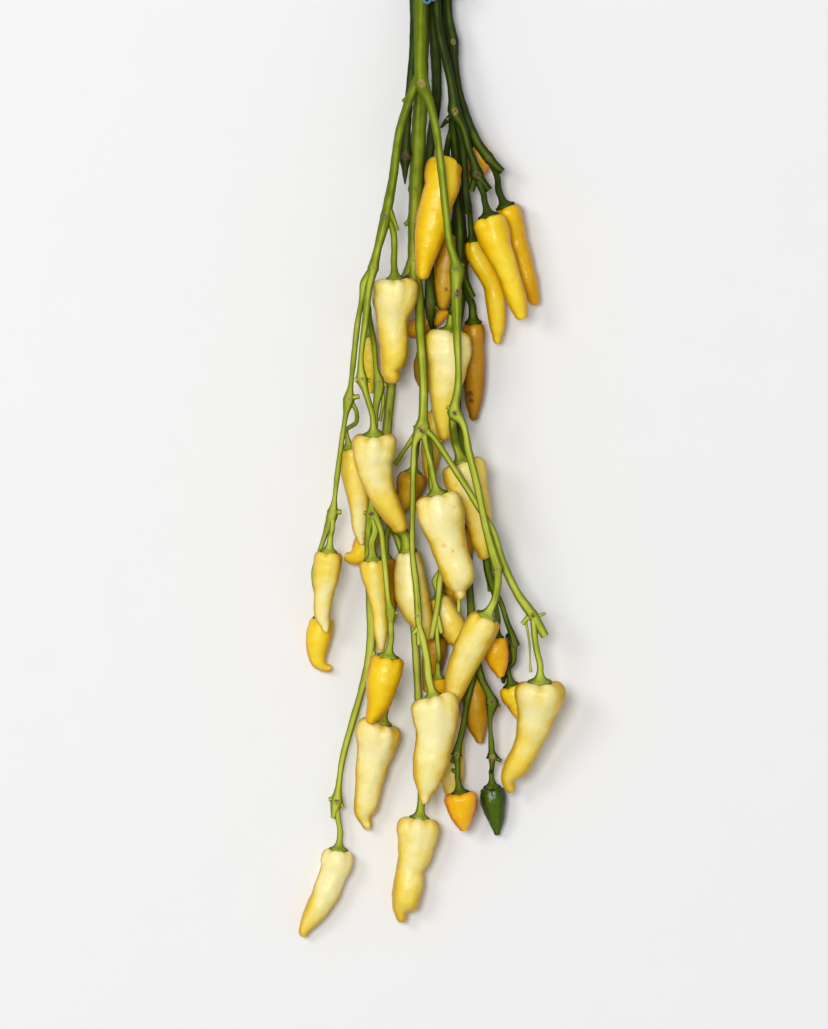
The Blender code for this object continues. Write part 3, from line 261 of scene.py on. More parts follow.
        (-2.4, -397.5, 31.4, 6.4), (-3, -401.8, 31, 3),
    ], (3, 90), 4.2),
    "chilli_30": ("cream", "near", [
        (-5.2, -409.2, 11.5, 20), (-5.7, -414, 11.4, 21.6), (-5.9, -419, 11.2, 20.8),
        (-6.8, -424, 11, 18.4), (-7.6, -429, 10.6, 16.8), (-8.6, -431.5, 10.5, 15.6),
        (-9.7, -434, 10.4, 14.2), (-10.1, -439, 10, 15.2), (-10.8, -444, 9.7, 16),
        (-11.9, -448.5, 9.2, 15.5), (-12.8, -452, 8.9, 14), (-14.4, -454.5, 8.6, 9.8),
        (-14.7, -457, 8.4, 6.8), (-14.3, -459.5, 8.2, 4.5), (-14, -461.8, 8, 3),
    ], (4, 40), 4.8),
    "chilli_31": ("cream", "near", [
        (-45.8, -425.3, 8.6, 15.5), (-46.2, -429, 8.5, 16.4), (-46.7, -433, 8.4, 16.2),
        (-48.5, -437.5, 8, 14.3), (-50.2, -442, 7.8, 14), (-51.9, -446.5, 7.7, 14.2),
        (-54.2, -451, 7.5, 13), (-56.8, -455.5, 7.3, 11.8), (-59.4, -459.5, 7, 10),
        (-61.5, -463, 6.8, 7.8), (-63, -466, 6.6, 5.5), (-63.8, -469, 6.5, 4),
    ], (4, 0), 4.6),
    "chilli_32": ("cream", "near", [
        (-24.3, -361.3, 14, 21.5), (-25.8, -366.5, 13.4, 22.9), (-26.2, -371, 12.6, 21.2),
        (-27.1, -376, 11.8, 18.6), (-28.5, -381, 11.2, 16.3), (-29.5, -387, 10.4, 15.4),
        (-30.5, -393, 9.6, 13.9), (-31.4, -399, 8.8, 13), (-32.2, -403.5, 8.3, 12.3),
        (-33.1, -407.5, 7.8, 9.5), (-32.5, -410.5, 7.5, 6.4), (-31.5, -413, 7.2, 4.2),
        (-30.8, -415.2, 7, 2.6),
    ], (4, 45), 5.2),
    "chilli_33": ("yellow", "near", [
        (-21, -328.2, 30, 16.5), (-21.8, -332.5, 29.6, 17.3), (-22.8, -337, 29.2, 17.5),
        (-24, -342, 28.9, 16.5), (-24.8, -347, 28.6, 14.5), (-25.8, -351.5, 28.4, 12.4),
        (-27.5, -355.5, 28.2, 9), (-29, -358.5, 28.1, 6.6), (-30.5, -362, 28, 3),
    ], (3, 60), 5.4),
    "chilli_34": ("cream", "near", [
        (55, -340.8, 28, 24.5), (54.9, -345, 27.2, 25.5), (54.3, -350, 26.2, 24.5),
        (53.6, -354.5, 25.3, 20.8), (52.7, -360, 24, 18.5), (51, -366, 22.6, 16),
        (48.9, -372, 21, 13.8), (46.5, -377.5, 19.6, 13), (43.9, -382, 18, 13.2),
        (41.2, -386, 16.8, 11.3), (39.3, -389.5, 15.8, 7.8), (39.8, -393, 14.8, 5.8),
        (41.5, -396.4, 14, 2.8),
    ], (4, 10), 5.8),
    "chilli_35": ("yellow", "middle", [
        (41, -343.2, 8, 12.5), (42, -347, 7.5, 13.4), (43.8, -351, 7, 12), (45.3, -356, 6.2, 9),
        (47, -361.5, 5.5, 3.5),
    ], (3, 0), 4.2),
    "chilli_36": ("orange", "near", [
        (33.5, -318.7, 16, 11), (33.2, -323, 15.8, 12.8), (33.5, -328, 15.5, 12.4),
        (34.5, -333.3, 15.2, 9), (35.7, -338.8, 15, 2.8),
    ], (3, 30), 3.6),
    "chilli_37": ("green", "far", [
        (38.3, -326, 6, 6.5), (38, -330, 5.4, 7.6), (37.6, -334, 5, 6.5), (37, -338, 4.5, 3.8),
        (36.7, -342, 4, 1.2),
    ], (3, 0), 2.4),
    "chilli_38": ("orange", "near", [
        (15, -396.7, 17, 15.5), (15.4, -399.2, 16.8, 17.6), (15.8, -402, 16.6, 17),
        (16, -404.5, 16.3, 15.2), (16.3, -408, 16, 12.4), (16.7, -411, 15.6, 9.4),
        (17.4, -415.8, 15, 3),
    ], (4, 45), 4.4),
    "chilli_39": ("green", "near", [
        (31.2, -394, 8, 11.5), (31.5, -398.5, 7.5, 13), (31.9, -402, 7.1, 13.1),
        (32.5, -406, 6.8, 11.2), (33.1, -410, 6.5, 8.8), (33.4, -414, 6.2, 5.4), (33.7, -418.2, 6, 1.8),
    ], (3, 30), 4.2),
    "chilli_40": ("golden", "middle", [
        (20.3, -336, 8, 11.5), (21.6, -342.5, 7.8, 12.6), (22.5, -350, 7.5, 12.8),
        (23.5, -357.5, 7, 12), (24, -363.5, 6.6, 10), (24.7, -368, 6.2, 6.2), (25.3, -372, 6, 2),
    ], (3, 70), 3.8),
    "chilli_41": ("cream", "middle", [
        (11.6, -352.5, 7.5, 7.5), (12, -361, 6.8, 9.4), (12, -370, 6, 10.6), (11.4, -378, 6, 11.5),
        (11.2, -389, 5.9, 12), (11, -395, 5.6, 9), (11, -401, 5, 3.5),
    ], (3, 0), 2.8),
    "chilli_42": ("orange", "far", [
        (4, -339, 15.5, 9), (4, -344.5, 14, 10), (3.8, -350, 12.5, 9.5), (3.4, -356.5, 11.4, 7.5),
        (3, -362, 10.5, 4),
    ], (3, 0), 3),
    "chilli_43": ("golden", "middle", [
        (3.2, -318.5, 7.6, 10.5), (2.6, -325, 7.2, 12.3), (1.5, -332, 6.8, 11.2), (0.2, -339, 6.2, 8.5),
        (-1.5, -346.5, 5.6, 4),
    ], (3, 45), 3.2),
}

# Each branch: its material and its runs. A run is a list of (x, y, z, radius) points. A run that
# carries a fruit names it; its last steps and its calyx are worked out from that fruit's crown.
STEMS = {
    "stem_front": ("stem_light", [
        (None, [(-4.7, 45, 17, 3.4), (-4.7, 12, 21.8, 3.3), (-4.7, 1, 22.3, 3.2), (-4.8, -14, 27, 3.2),
                (-4.7, -37, 33, 3.3), (-4.3, -42, 34, 3.8), (-0.5, -51, 37, 2.4), (2.5, -62.5, 40, 2.1),
                (5.5, -83.5, 43, 2.1), (8, -107, 43, 2), (10, -123, 42, 2), (12.7, -132, 41.5, 2.6),
                (13.2, -135, 41.5, 3.4), (13, -143, 41, 2.9), (13.2, -155.5, 41, 2.6),
                (13.5, -168, 41, 2.1), (13.5, -197, 41, 2.1), (12.3, -203, 41, 2.6),
                (12.2, -206.5, 41, 3.4), (15.2, -210, 41, 2.3), (19.3, -226, 42, 2),
                (24, -245, 42, 1.9), (27.8, -263.5, 42, 1.9), (31.2, -276, 41, 2.3),
                (34, -284.5, 40, 2.6)]),
        (None, [(-5.5, -38, 33, 2.6), (-10.5, -50.5, 35, 2.2), (-15, -65, 36.5, 2.1),
                (-18.6, -90, 38, 2.3), (-21.6, -106, 38, 2.6), (-22.3, -109.5, 38, 2.7),
                (-26.2, -125, 38, 2.1), (-28.3, -134, 38, 2.5), (-30.4, -143.5, 39, 2),
                (-32.2, -160, 40, 1.8), (-34.5, -184, 43, 1.8), (-34, -190, 44, 2.7),
                (-32, -196, 45, 1.6)]),
        (None, [(-28.5, -134.5, 38, 2), (-33, -142, 38, 2.1), (-33.8, -148, 38, 1.5),
                (-36.2, -162, 37, 1.5), (-38, -178, 36, 1.5), (-39.9, -195, 35, 1.7),
                (-40.6, -199.5, 35, 2.6), (-42, -207, 34, 1.5), (-44, -220, 33, 1.3),
                (-46.4, -238, 31, 1.4), (-48, -252, 30, 1.6), (-48.6, -256, 29, 2.5),
                (-53, -269, 20, 1.3), (-57, -281, 12, 1.3)]),
        (None, [(-31.5, -142, 36, 1.7), (-31, -153, 33, 1.4), (-28, -172.5, 22, 1.5),
                (-26.5, -187, 20, 1.7), (-25.5, -191, 20, 2.7), (-27, -203, 19, 1.6),
                (-27.5, -225, 19, 1.6), (-28.7, -244, 22.5, 1.8), (-29.2, -254, 26, 2),
                (-29.3, -257, 26, 2.8), (-30.6, -264, 23.5, 1.8), (-31, -275, 17.5, 1.8),
                (-30.8, -286, 14, 2), (-30, -297, 9, 2.3), (-30, -326, 7, 2.3), (-34.7, -347, 6, 1.8),
                (-38.9, -361.5, 6, 1.8), (-44, -380.5, 7, 1.6), (-46, -395, 8, 1.8),
                (-46.8, -401, 8.5, 2.9), (-48.6, -409.5, 8.5, 1.1)]),
        (None, [(-28.2, -256, 26.5, 1.9), (-24.5, -265.5, 29, 1.6), (-23.3, -275.5, 33, 1.6),
                (-22, -288, 35, 1.4), (-20.7, -301, 35, 1.5), (-19.6, -306.5, 34.5, 2.6),
                (-19.6, -311, 34, 1.4)]),
        (None, [(-20.5, -105, 38, 1.8), (-17.6, -111.5, 38.5, 1.1), (-16.3, -115.5, 38.5, 1)]),
        (None, [(-25.5, -191, 20, 1.6), (-21.8, -192.7, 20, 1.2)]),
        (None, [(-24.5, -192.5, 20, 1.1), (-23.4, -199, 19, 0.9), (-25, -210.5, 18, 0.9)]),
        ("chilli_08", [(-21.3, -108, 38, 1.8), (-18.6, -115, 36.5, 1.6), (-17.8, -125, 34, 1.6)]),
        ("chilli_10", [(12.8, -149, 40, 1.8), (11.8, -155, 36.5, 1.6)]),
        ("chilli_15", [(-33, -193.5, 44.5, 1.7), (-30.6, -201, 46, 1.5)]),
        ("chilli_16", [(-39.5, -201, 34.5, 1.3), (-37, -205, 33, 1.1), (-36.8, -211, 29, 1.1)]),
        ("chilli_09", [(-31.2, -150, 33.5, 1.1), (-30.2, -155, 22, 1)]),
        ("chilli_18", [(-48.7, -257, 29, 1.5), (-48.9, -265, 28, 1.4)]),
        ("chilli_19", [(-56, -278, 13.5, 1.3), (-58.2, -286, 10, 1.2), (-57, -296, 8.5, 1.2)]),
        ("chilli_20", [(-28.9, -257.5, 26, 1.8), (-27.4, -266, 27, 1.8)]),
        ("chilli_17", [(-28.6, -240, 21, 1.5), (-27.8, -246.5, 13, 1.4)]),
        ("chilli_33", [(-19.6, -308.5, 34, 1.5), (-19.6, -314, 33.5, 1.5)]),
        ("chilli_32", [(-30, -322, 7, 1.6), (-26, -336, 8, 1.5), (-23, -346.5, 12, 1.7)]),
        ("chilli_31", [(-46.8, -402, 8.5, 1.7), (-46, -410, 8.5, 1.4)]),
        ("chilli_26", [(12, -205, 40, 2.2), (11.3, -211, 37, 2), (11.9, -217.5, 30, 1.9)]),
        ("chilli_28", [(33.6, -283, 40, 2.2), (33.9, -289, 39.5, 2), (33.3, -295, 38, 1.9)]),
    ]),
    "stem_centre": ("stem_light", [
        (None, [(-3.3, 45, 8, 3.3), (-3.5, 8, 13, 3.3), (-3.7, -12, 15.5, 3.3), (-4.8, -50, 18.5, 3.5),
                (-6, -72.5, 20, 3.8), (-7, -94.5, 20, 3.5), (-7.6, -108, 20.5, 3.3),
                (-8, -125, 20.5, 3.1), (-7.4, -138, 20.5, 3.3), (-5.6, -150, 21.5, 2.6),
                (-5, -164, 27, 2.4), (-4.2, -176.5, 30, 2.3), (-3.2, -201.5, 31, 2.3),
                (-3.6, -210, 31.5, 2.7), (-4.2, -215, 32, 3.9), (-7, -220, 32, 2),
                (-8.3, -232, 32, 1.5), (-8.6, -250, 32, 1.5), (-8.6, -279, 32, 1.5),
                (-7, -292, 32, 1.7), (-5.8, -308, 32, 1.8), (-5.2, -322.5, 32, 1.5)]),
        (None, [(-3.2, -214, 32, 2.2), (1.5, -218.5, 35, 1.6), (7, -226.5, 38.5, 1.6),
                (13.2, -236, 41, 1.6), (19, -245, 39, 1.6), (24.5, -254, 37, 1.6),
                (30.5, -263.5, 36, 1.6), (36.7, -282, 34, 2), (44.5, -298, 32, 2.2),
                (51.3, -307.5, 30, 2.6), (57.5, -318, 28, 2)]),
        (None, [(-8.3, -129, 21.5, 2.6), (-12, -139, 17.5, 2.5), (-15.5, -152, 12, 2.4),
                (-18, -172, 9, 2.3), (-19.3, -192, 9, 2.3), (-20.8, -207, 9, 2.4), (-22, -222, 10, 2.4),
                (-22.3, -240, 11, 2.4), (-20, -257, 12.5, 2.8)]),
        (None, [(-21, -252, 12, 1.9), (-17.5, -266, 7, 1.8), (-13, -279, 4.5, 1.8), (-9, -296, 4, 1.8),
                (-8, -312, 4, 1.9), (-6.3, -340, 4.7, 1.9), (-5, -368, 7.5, 2), (-4, -392, 10, 2)]),
        (None, [(-3, -215, 31, 2), (-0.6, -222, 27, 1.7), (0.6, -236, 21.5, 1.7), (2, -252, 17.5, 1.8),
                (6, -268, 16, 1.9), (7.2, -280, 17, 1.9)]),
        (None, [(7.2, -277, 17, 1.8), (5.3, -288, 22.5, 1.6), (3.7, -303, 24.5, 1.6),
                (0.6, -319, 24.5, 1.5)]),
        (None, [(7.2, -277, 17, 1.6), (10.5, -289, 17, 1.2), (14.5, -301, 19.5, 1.2),
                (14.3, -306, 19.8, 1)]),
        (None, [(-5.5, -215, 31, 1.8), (-11, -222.5, 27, 1.2), (-17.5, -232, 21, 1.2)]),
        (None, [(-7.8, -129, 21, 2), (-11.3, -136.5, 20, 1.8)]),
        (None, [(-8.5, -109, 20.5, 1.5), (-12.8, -112.5, 20.5, 1.1)]),
        (None, [(52, -307.5, 30, 1.5), (48.8, -309, 30, 1.3), (46.2, -312, 29.5, 1.2)]),
        (None, [(47.8, -310, 29.5, 0.7), (49.5, -320, 28.5, 0.6), (50.2, -333.5, 28, 0.6),
                (50.4, -336, 28, 0.9)]),
        (None, [(3, -304, 24.5, 1.1), (5.8, -316.5, 24, 1.2)]),
        ("chilli_25", [(-3.2, -216.5, 32.5, 2), (-1.6, -224.5, 35, 1.5), (0.4, -232.5, 37.4, 1.5)]),
        ("chilli_29", [(-5.6, -312, 32.3, 1.5), (-3.4, -320, 33, 1.8), (-1.5, -330, 34.2, 2)]),
        ("chilli_34", [(51.8, -309, 30, 1.9), (52.4, -319, 29.7, 1.6), (53.8, -327, 29.5, 1.6)]),
        ("chilli_22", [(-20.3, -254.5, 12.3, 2.6), (-18, -263.5, 15, 2.8)]),
        ("chilli_21", [(-19.5, -259, 10.5, 1.4), (-21.5, -267, 8.5, 1.3)]),
        ("chilli_30", [(-4, -388, 10, 1.9), (-4.2, -397, 11, 1.9)]),
        ("chilli_14", [(-4.2, -213, 31, 1.5), (-5.4, -218, 25, 1.4), (-6.6, -223, 16, 1.4)]),
        ("chilli_23", [(6.6, -279.5, 15.8, 1.4), (5, -286, 14.6, 1.4)]),
        ("chilli_42", [(3, -307, 24.5, 1.2), (3.7, -320, 23, 1.2), (4.4, -330, 19.5, 1.2)]),
        ("chilli_43", [(-8.2, -298, 4, 1.3), (-2.5, -305.5, 6.2, 1.3)]),
        ("chilli_24", [(7, -274.5, 16.3, 1.3), (8, -279.5, 13.5, 1.2)]),
    ]),
    "stem_right": ("stem_dark", [
        (None, [(3, 45, 13, 2.4), (3, 8, 18, 2.4), (3.6, -8, 20, 2.3), (5.3, -20, 22, 2.2),
                (7.2, -27, 23, 2.2), (10.2, -40, 24, 2.2), (11.7, -50, 24, 2.6), (12.3, -56, 24, 3.2),
                (16.2, -63, 23.5, 2.1), (19.2, -74, 23, 2), (22.3, -83, 22.5, 2.5),
                (23.5, -87.5, 22.5, 3.3), (26.5, -91, 22.5, 2.1), (29.7, -95, 22.5, 2)]),
        (None, [(11.8, -55, 23.5, 2.2), (11.5, -62, 19, 2.2), (12.8, -78, 14.5, 2.3),
                (13, -91, 15.5, 2.3), (13.6, -101, 18.5, 2.3), (14.9, -116, 22, 2.3),
                (15.2, -129, 23, 2.5), (15.6, -133, 23, 2.9), (18, -141, 20, 1.9),
                (21.3, -148.5, 18, 1.7)]),
        (None, [(12, -57, 22.5, 1.8), (8.5, -60, 20, 1.5), (5.5, -63.5, 17.5, 0.6)]),
        (None, [(13.5, -58.5, 23, 1.9), (16.2, -72, 18, 1.8), (17.5, -88, 18, 1.9), (18, -98, 19, 2),
                (18.6, -107, 19, 1.3)]),
        (None, [(23, -87, 22.5, 2), (20.7, -95.5, 23, 1.5)]),
        ("chilli_04", [(24.3, -90, 22.5, 2), (27, -98, 24.5, 1.6)]),
        ("chilli_06", [(18, -95, 18.6, 1.6), (19.8, -103.5, 17, 1.4)]),
        ("chilli_12", [(16, -135.5, 22, 1.9), (18.8, -147, 14.5, 1.9)]),
        ("chilli_01", [(11.6, -62, 18.5, 1.6), (9.5, -69, 17, 1.5)]),
        ("chilli_02", [(13.5, -97, 18.5, 1.5), (12.6, -105.5, 14, 1.4)]),
    ]),
    "stem_far_right": ("stem_dark", [
        (None, [(8.5, 45, 8, 2.3), (8.6, 8, 12.5, 2.3), (9.3, -8, 13, 2.2), (11.5, -20.5, 13.5, 2.6),
                (12.5, -35, 14, 2.2), (15.4, -50, 15, 2.3), (20.2, -63.5, 17, 2.4),
                (24.2, -72, 18.5, 2.4), (29.5, -79, 18, 2.6), (32, -82, 17.5, 2.3),
                (36.4, -85.7, 17.5, 1.7)]),
        ("chilli_05", [(30.8, -80.5, 17.7, 2.1), (33.8, -89, 15, 1.6)]),
        ("chilli_07", [(17, -54, 15, 1.5), (19, -60, 10.5, 1.4)]),
    ]),
    "stem_far_left": ("stem_dark", [
        (None, [(-8.3, 45, 12.5, 2.2), (-8.3, 8, 17.3, 2.2), (-8, -12, 19, 2.1), (-8.8, -30, 22, 2),
                (-10.2, -45, 24, 2), (-11.2, -60, 25, 2), (-12, -71, 25, 2.3), (-12.5, -78, 25, 3),
                (-12.5, -84.5, 25, 1.7), (-12.5, -92, 25, 0.4)]),
    ]),
    "stem_middle_back": ("stem_dark", [
        (None, [(1, 45, 3, 2.6), (1, 8, 6.5, 2.6), (1.5, -12, 9, 2.6), (3.2, -35, 9.5, 2.6),
                (3, -52, 9.5, 2.5), (0.5, -70, 10, 2.4), (-0.8, -85, 11, 2.4), (-1.2, -105, 12.5, 2.4),
                (-0.6, -125, 15.5, 2.4), (-0.2, -140, 18.5, 2.4), (0.2, -152, 20, 2.9),
                (0.4, -159, 17, 2.2)]),
        (None, [(0.2, -152, 20, 1.8), (4, -154.5, 20.5, 1)]),
        ("chilli_11", [(0.4, -157, 18, 1.9), (0.6, -162, 14.5, 1.6)]),
    ]),
    "stem_low_right": ("stem_dark", [
        (None, [(6.3, 45, 2.5, 2.2), (6.3, 8, 7, 2.2), (7, -12, 8, 2.2), (10, -35, 7.5, 2.1),
                (12, -50, 7, 2), (12.6, -70, 6, 2), (13.5, -90, 5, 1.9), (16.2, -110, 4, 1.8),
                (17.6, -130, 3.6, 1.7), (16.5, -148, 3.5, 1.7), (14, -164, 3.4, 1.7),
                (13, -185, 3.4, 1.7), (14, -205, 4, 1.8), (16, -225, 6, 1.9), (18.5, -245, 7.5, 1.9),
                (19.6, -262, 8, 1.9), (19.7, -290, 9, 1.9), (20.7, -306, 10, 1.9),
                (22.6, -322, 13.5, 2), (24, -333, 17, 2), (26, -340, 17.5, 1.8), (30, -348, 17.5, 2.2),
                (31, -351, 17.5, 3), (30.2, -358, 17.5, 1.5), (30.7, -372, 16, 1.5), (31, -377, 15, 2),
                (31.3, -379, 14.6, 3)]),
        (None, [(24, -332, 16.8, 1.9), (22, -338, 17, 1.6), (18.8, -350, 17, 1.5),
                (16.2, -365, 17.3, 1.5), (14, -374, 18, 2), (13.2, -378, 18, 2.7)]),
        (None, [(17.5, -236, 7, 1.7), (23, -252, 10, 1.8), (27, -271, 13.5, 1.9), (30, -289, 17, 2.1),
                (32, -295, 17.5, 1.9), (35.3, -301, 18.5, 1.4), (38.6, -311, 18.5, 1.4),
                (41.6, -319, 17.5, 2), (42.5, -323, 16.5, 2.5)]),
        (None, [(30.4, -348.5, 17.5, 1.7), (35, -353.5, 17.5, 0.7)]),
        ("chilli_03", [(17, -140, 3.6, 1.4), (15.4, -145, 4.3, 1.2)]),
        ("chilli_13", [(13, -188, 3.6, 1.3), (8, -194, 6.5, 1.3)]),
        ("chilli_27", [(19.3, -254, 8, 1.3), (17, -257.5, 12, 1.3)]),
        ("chilli_40", [(20.3, -303, 9.7, 1.4), (19, -318, 8, 1.3), (19, -326, 8, 1.3)]),
        ("chilli_41", [(22.4, -336, 17, 1.3), (14.3, -341, 14, 1.2)]),
        ("chilli_38", [(13.3, -378, 18, 1.9), (13.9, -386, 17.7, 1.4)]),
        ("chilli_39", [(31.2, -379, 14.5, 1.6), (31, -385, 11.5, 1.2)]),
        ("chilli_36", [(31.3, -293.5, 17.3, 1.3), (33.2, -304, 16.5, 1.2)]),
        ("chilli_37", [(41.5, -321, 16, 1.2), (39.3, -317.5, 9, 1)]),
        ("chilli_35", [(41.7, -322.5, 16.5, 2), (41.8, -331, 13, 1.3)]),
    ]),
}

# Short stubs and threads too small for the solids, on the branches that bear them.
TWIGS = {
    "stem_front": [
        [(-10, -48, 35, 1.2), (-13.7, -51, 35.5, 0.9)],
        [(-34, -190, 44, 1.4), (-37.3, -190, 45, 1.2)],
        [(-34, -189.5, 44, 1.2), (-30, -190.5, 43, 1)],
        [(-40.5, -199, 35, 1.5), (-35.3, -198.3, 35.5, 1.2)],
        [(-48.5, -256, 29, 1.4), (-44.3, -256, 29.5, 1.2)],
        [(-29.5, -257, 26, 1.4), (-33.2, -256.3, 26.5, 0.9)],
        [(-19.5, -307, 34.5, 1.4), (-16.3, -306.3, 34.5, 1.1)],
        [(-47.5, -399.5, 8.5, 1.3), (-50.7, -400, 8.5, 1)],
        [(-46.2, -399.5, 8.5, 1.5), (-43.6, -404, 8.5, 1)],
        [(12.3, -206, 41, 1.6), (8.2, -203.5, 41.5, 1)],
    ],
    "stem_centre": [
        [(54, -308, 30, 1), (57.8, -306.5, 30, 0.7)],
        [(-6, -314, 32, 1.2), (-8.4, -316.8, 32, 1)],
    ],
    "stem_right": [[(11.2, -57.5, 24, 1.1), (8.7, -59.5, 25, 0.9)]],
    "stem_low_right": [
        [(31.2, -378, 14.8, 1.6), (35.8, -380.8, 15, 0.9)],
        [(13.4, -377, 18, 1.6), (10.8, -381.5, 17.5, 0.9)],
        [(30, -291, 17, 1.4), (29.8, -295.8, 17, 1)],
        [(13.7, -386, 17.5, 1.5), (10.8, -385, 17, 0.9)],
    ],
}

# A fruit's own looks: how ripe it is at its crown and at its tip, where 0 is pale and 1 is golden and
# both can be passed, and the turns in degrees of the grooves between its lobes.
LOOKS = {
    "chilli_01": (0.55, 0.8, (60, 150, 250, 330)),
    "chilli_04": (0.45, 0.4, (70, 190, 300)),
    # chilli_05's values, past 1, make it darker and more golden all over.
    "chilli_05": (1.5, 1.9, (60, 160, 280)),
    "chilli_06": (0.4, 0.5, (60, 180, 300)),
    "chilli_08": (0.15, 1.1, (84, 118, 215, 300)),
    "chilli_09": (0.0, 0.3, (60, 180, 300)),
    "chilli_10": (0.1, 1.2, (104, 200, 300)),
    "chilli_12": (0.8, 1.4, (60, 180, 300)),
    "chilli_13": (0.9, 1.2, (60, 180, 300)),
    "chilli_15": (0.05, 1.2, (66, 112, 220, 310)),
    "chilli_16": (0.8, 0.1, (60, 150, 270)),
    "chilli_18": (0.6, 0.3, (80, 160, 280)),
    "chilli_19": (0.3, 0.5, (60, 180, 300)),
    "chilli_20": (0.6, 0.5, (60, 120, 240)),
    "chilli_22": (0.0, 0.9, (60, 150, 270)),
    "chilli_23": (0.6, 0.9, (60, 150, 270)),
    "chilli_25": (0.05, 0.6, (58, 112, 200, 300)),
    "chilli_26": (0.4, 0.9, (62, 118, 220, 310)),
    "chilli_28": (0.4, 0.8, (60, 150, 270)),
    "chilli_29": (0.0, 0.4, (74, 119, 220, 310)),
    "chilli_30": (0.3, 1.0, (62, 112, 200, 300)),
    "chilli_31": (-0.25, 0.9, (50, 128, 200, 300)),
    "chilli_32": (0.0, 0.55, (97, 140, 220, 320)),
    "chilli_33": (0.6, 0.8, (60, 118, 240)),
    "chilli_34": (0.15, 1.1, (90, 145, 220, 320)),
    "chilli_41": (0.3, 0.6, (60, 180, 300)),
}

# Scars where leaves and other stalks were: place, radius and whether it is purple (0) or beige (1).
# A branch bulges into a knot there.
SCARS = {
    "stem_front": [
        (-4.3, -42, 3.6, 1), (13.2, -135, 3.4, 0), (12.2, -206.5, 3.2, 0), (-22.3, -109, 2.8, 0),
        (-28.3, -134, 2.6, 1), (-34, -190, 2.8, 1), (-40.6, -199.5, 2.6, 1), (-48.6, -256, 2.6, 1),
        (-25.5, -191, 2.6, 1), (-29.3, -257, 2.8, 0), (-19.6, -306.5, 2.6, 1), (-46.8, -401, 3, 0),
        (14, -147, 4.5, 0), (33.6, -285.6, 2.4, 1),
    ],
    "stem_centre": [
        (-4.2, -215, 4.6, 0), (-12, -139, 4.5, 0), (-7, -94.5, 2.5, 0), (51.3, -307.5, 2.8, 0),
        (-5.8, -308, 2.4, 1), (7.2, -277, 2.6, 0), (-7.6, -110, 2.4, 1),
        (-5.3, -322, 2, 1),
    ],
    "stem_right": [(12.3, -56, 3.4, 1), (23.5, -87.5, 3.4, 0), (15.6, -133, 3, 1)],
    "stem_far_right": [(11.5, -20.5, 2.4, 1), (29.5, -79, 2.8, 0)],
    "stem_far_left": [(-12.5, -78, 4.2, 0)],
    "stem_middle_back": [(0.2, -152, 3, 0)],
    "stem_low_right": [(31, -351, 2.8, 0), (13.2, -378, 2.6, 1), (31.3, -379, 2.8, 1), (41.7, -323, 2.4, 0)],
}

# Spots on the skins that have any: their colour, then each one's place, radius and strength.
SPOTS = {
    "cream": ((246, 164, 16), [
        (12, -253.5, 0.9, 0.7), (7, -272.6, 1.5, 0.6), (17.2, -272.5, 1.6, 0.8), (11.2, -275.5, 0.9, 0.7),
        (-33, -266.5, 1.3, 0.6), (-33.3, -269.5, 1.2, 0.7), (12.8, -242.8, 1.3, 0.4),
        (19.5, -262, 1.2, 0.6), (21.5, -268, 1, 0.5),
    ]),
    "golden": ((84, 40, 6), [
        (8, -144.5, 1.1, 0.8), (19.7, -196.8, 2.2, 0.8), (20.6, -200, 1.8, 0.8), (19.6, -198.5, 3.4, 0.4),
    ]),
}

TIE_CENTRE = (0.2, 6.5, 14.9)
TIE_HALF_WIDTH = 13.4
TIE_HALF_HEIGHT = 13.2
TIE_CORD_RADIUS = 0.85
TIE_PITCH = 1.72
TIE_TURNS = 4.0
TIE_ROWS = 90
# The loops below the tie: rows, half turns and lift, then each one's centre, ring and cord radius.
LOOP_ROWS = 60
LOOP_SWEEP = 2.03
LOOP_LIFT = 0.35
TIE_LOOPS = [((-1.6, 0.0, 28.0), 1.55, 0.8), ((1.5, 1.3, 27.4), 1.5, 0.7)]

# Skins: the colours of a pale, a ripe, a turned and a deep part, and the roughness. The pale colour is
# partly painted light on top, the turned one mostly painted shade at the sides and in the grooves, and the
# deep one painted shade at the rim.
SKINS = {
    "cream": ((255, 242, 172), (250, 221, 82), (214, 170, 24), (164, 120, 8), 0.36),
    "yellow": ((255, 226, 66), (250, 206, 4), (220, 162, 1), (164, 108, 1), 0.34),
    "golden": ((222, 176, 36), (196, 142, 5), (158, 104, 1), (96, 54, 1), 0.38),
    "orange": ((255, 208, 28), (252, 180, 3), (224, 130, 2), (158, 80, 1), 0.34),
    "green": ((84, 112, 6), (52, 74, 2), (26, 40, 1), (10, 18, 1), 0.30),
}

# Barks: the colours of the crests and painted light where a branch faces up, the body, the edges (darker
# streaks and painted shade at the sides), the deepest painted shade at the sides, and the calyxes.
BARKS = {
    "stem_light": ((200, 206, 80), (146, 160, 26), (92, 108, 8), (40, 50, 2), (96, 120, 10)),
    # The bark of the branches at the back: the same colours darkened all over as painted shade.
    "stem_dark": ((104, 124, 20), (62, 80, 5), (34, 46, 2), (12, 16, 1), (60, 84, 4)),
}
# Scars: the kinds, then for each the colours of its ring and its middle and where the middle starts.
SCAR_KINDS = ("purple", "beige")
SCAR_COLOURS = {
    "purple": ((128, 104, 74), (72, 48, 36), (0.65, 1.0)),
    "beige": ((182, 156, 96), (96, 64, 34), (0.75, 1.1)),
}
# Heights on the picture, in metres from the bunch's middle, over which painted shade darkens the branches
# towards the tie.
BARK_DARKENS = (-0.12, 0.2)


def srgb(red, green, blue):
    """A colour picked from 0 to 255 as the eye sees it, as the linear colour that shaders take."""
    shares = np.array([red, green, blue]) / 255
    linear = np.where(shares <= 0.04045, shares / 12.92, ((shares + 0.055) / 1.055) ** 2.4)
    return (*linear.tolist(), 1.0)


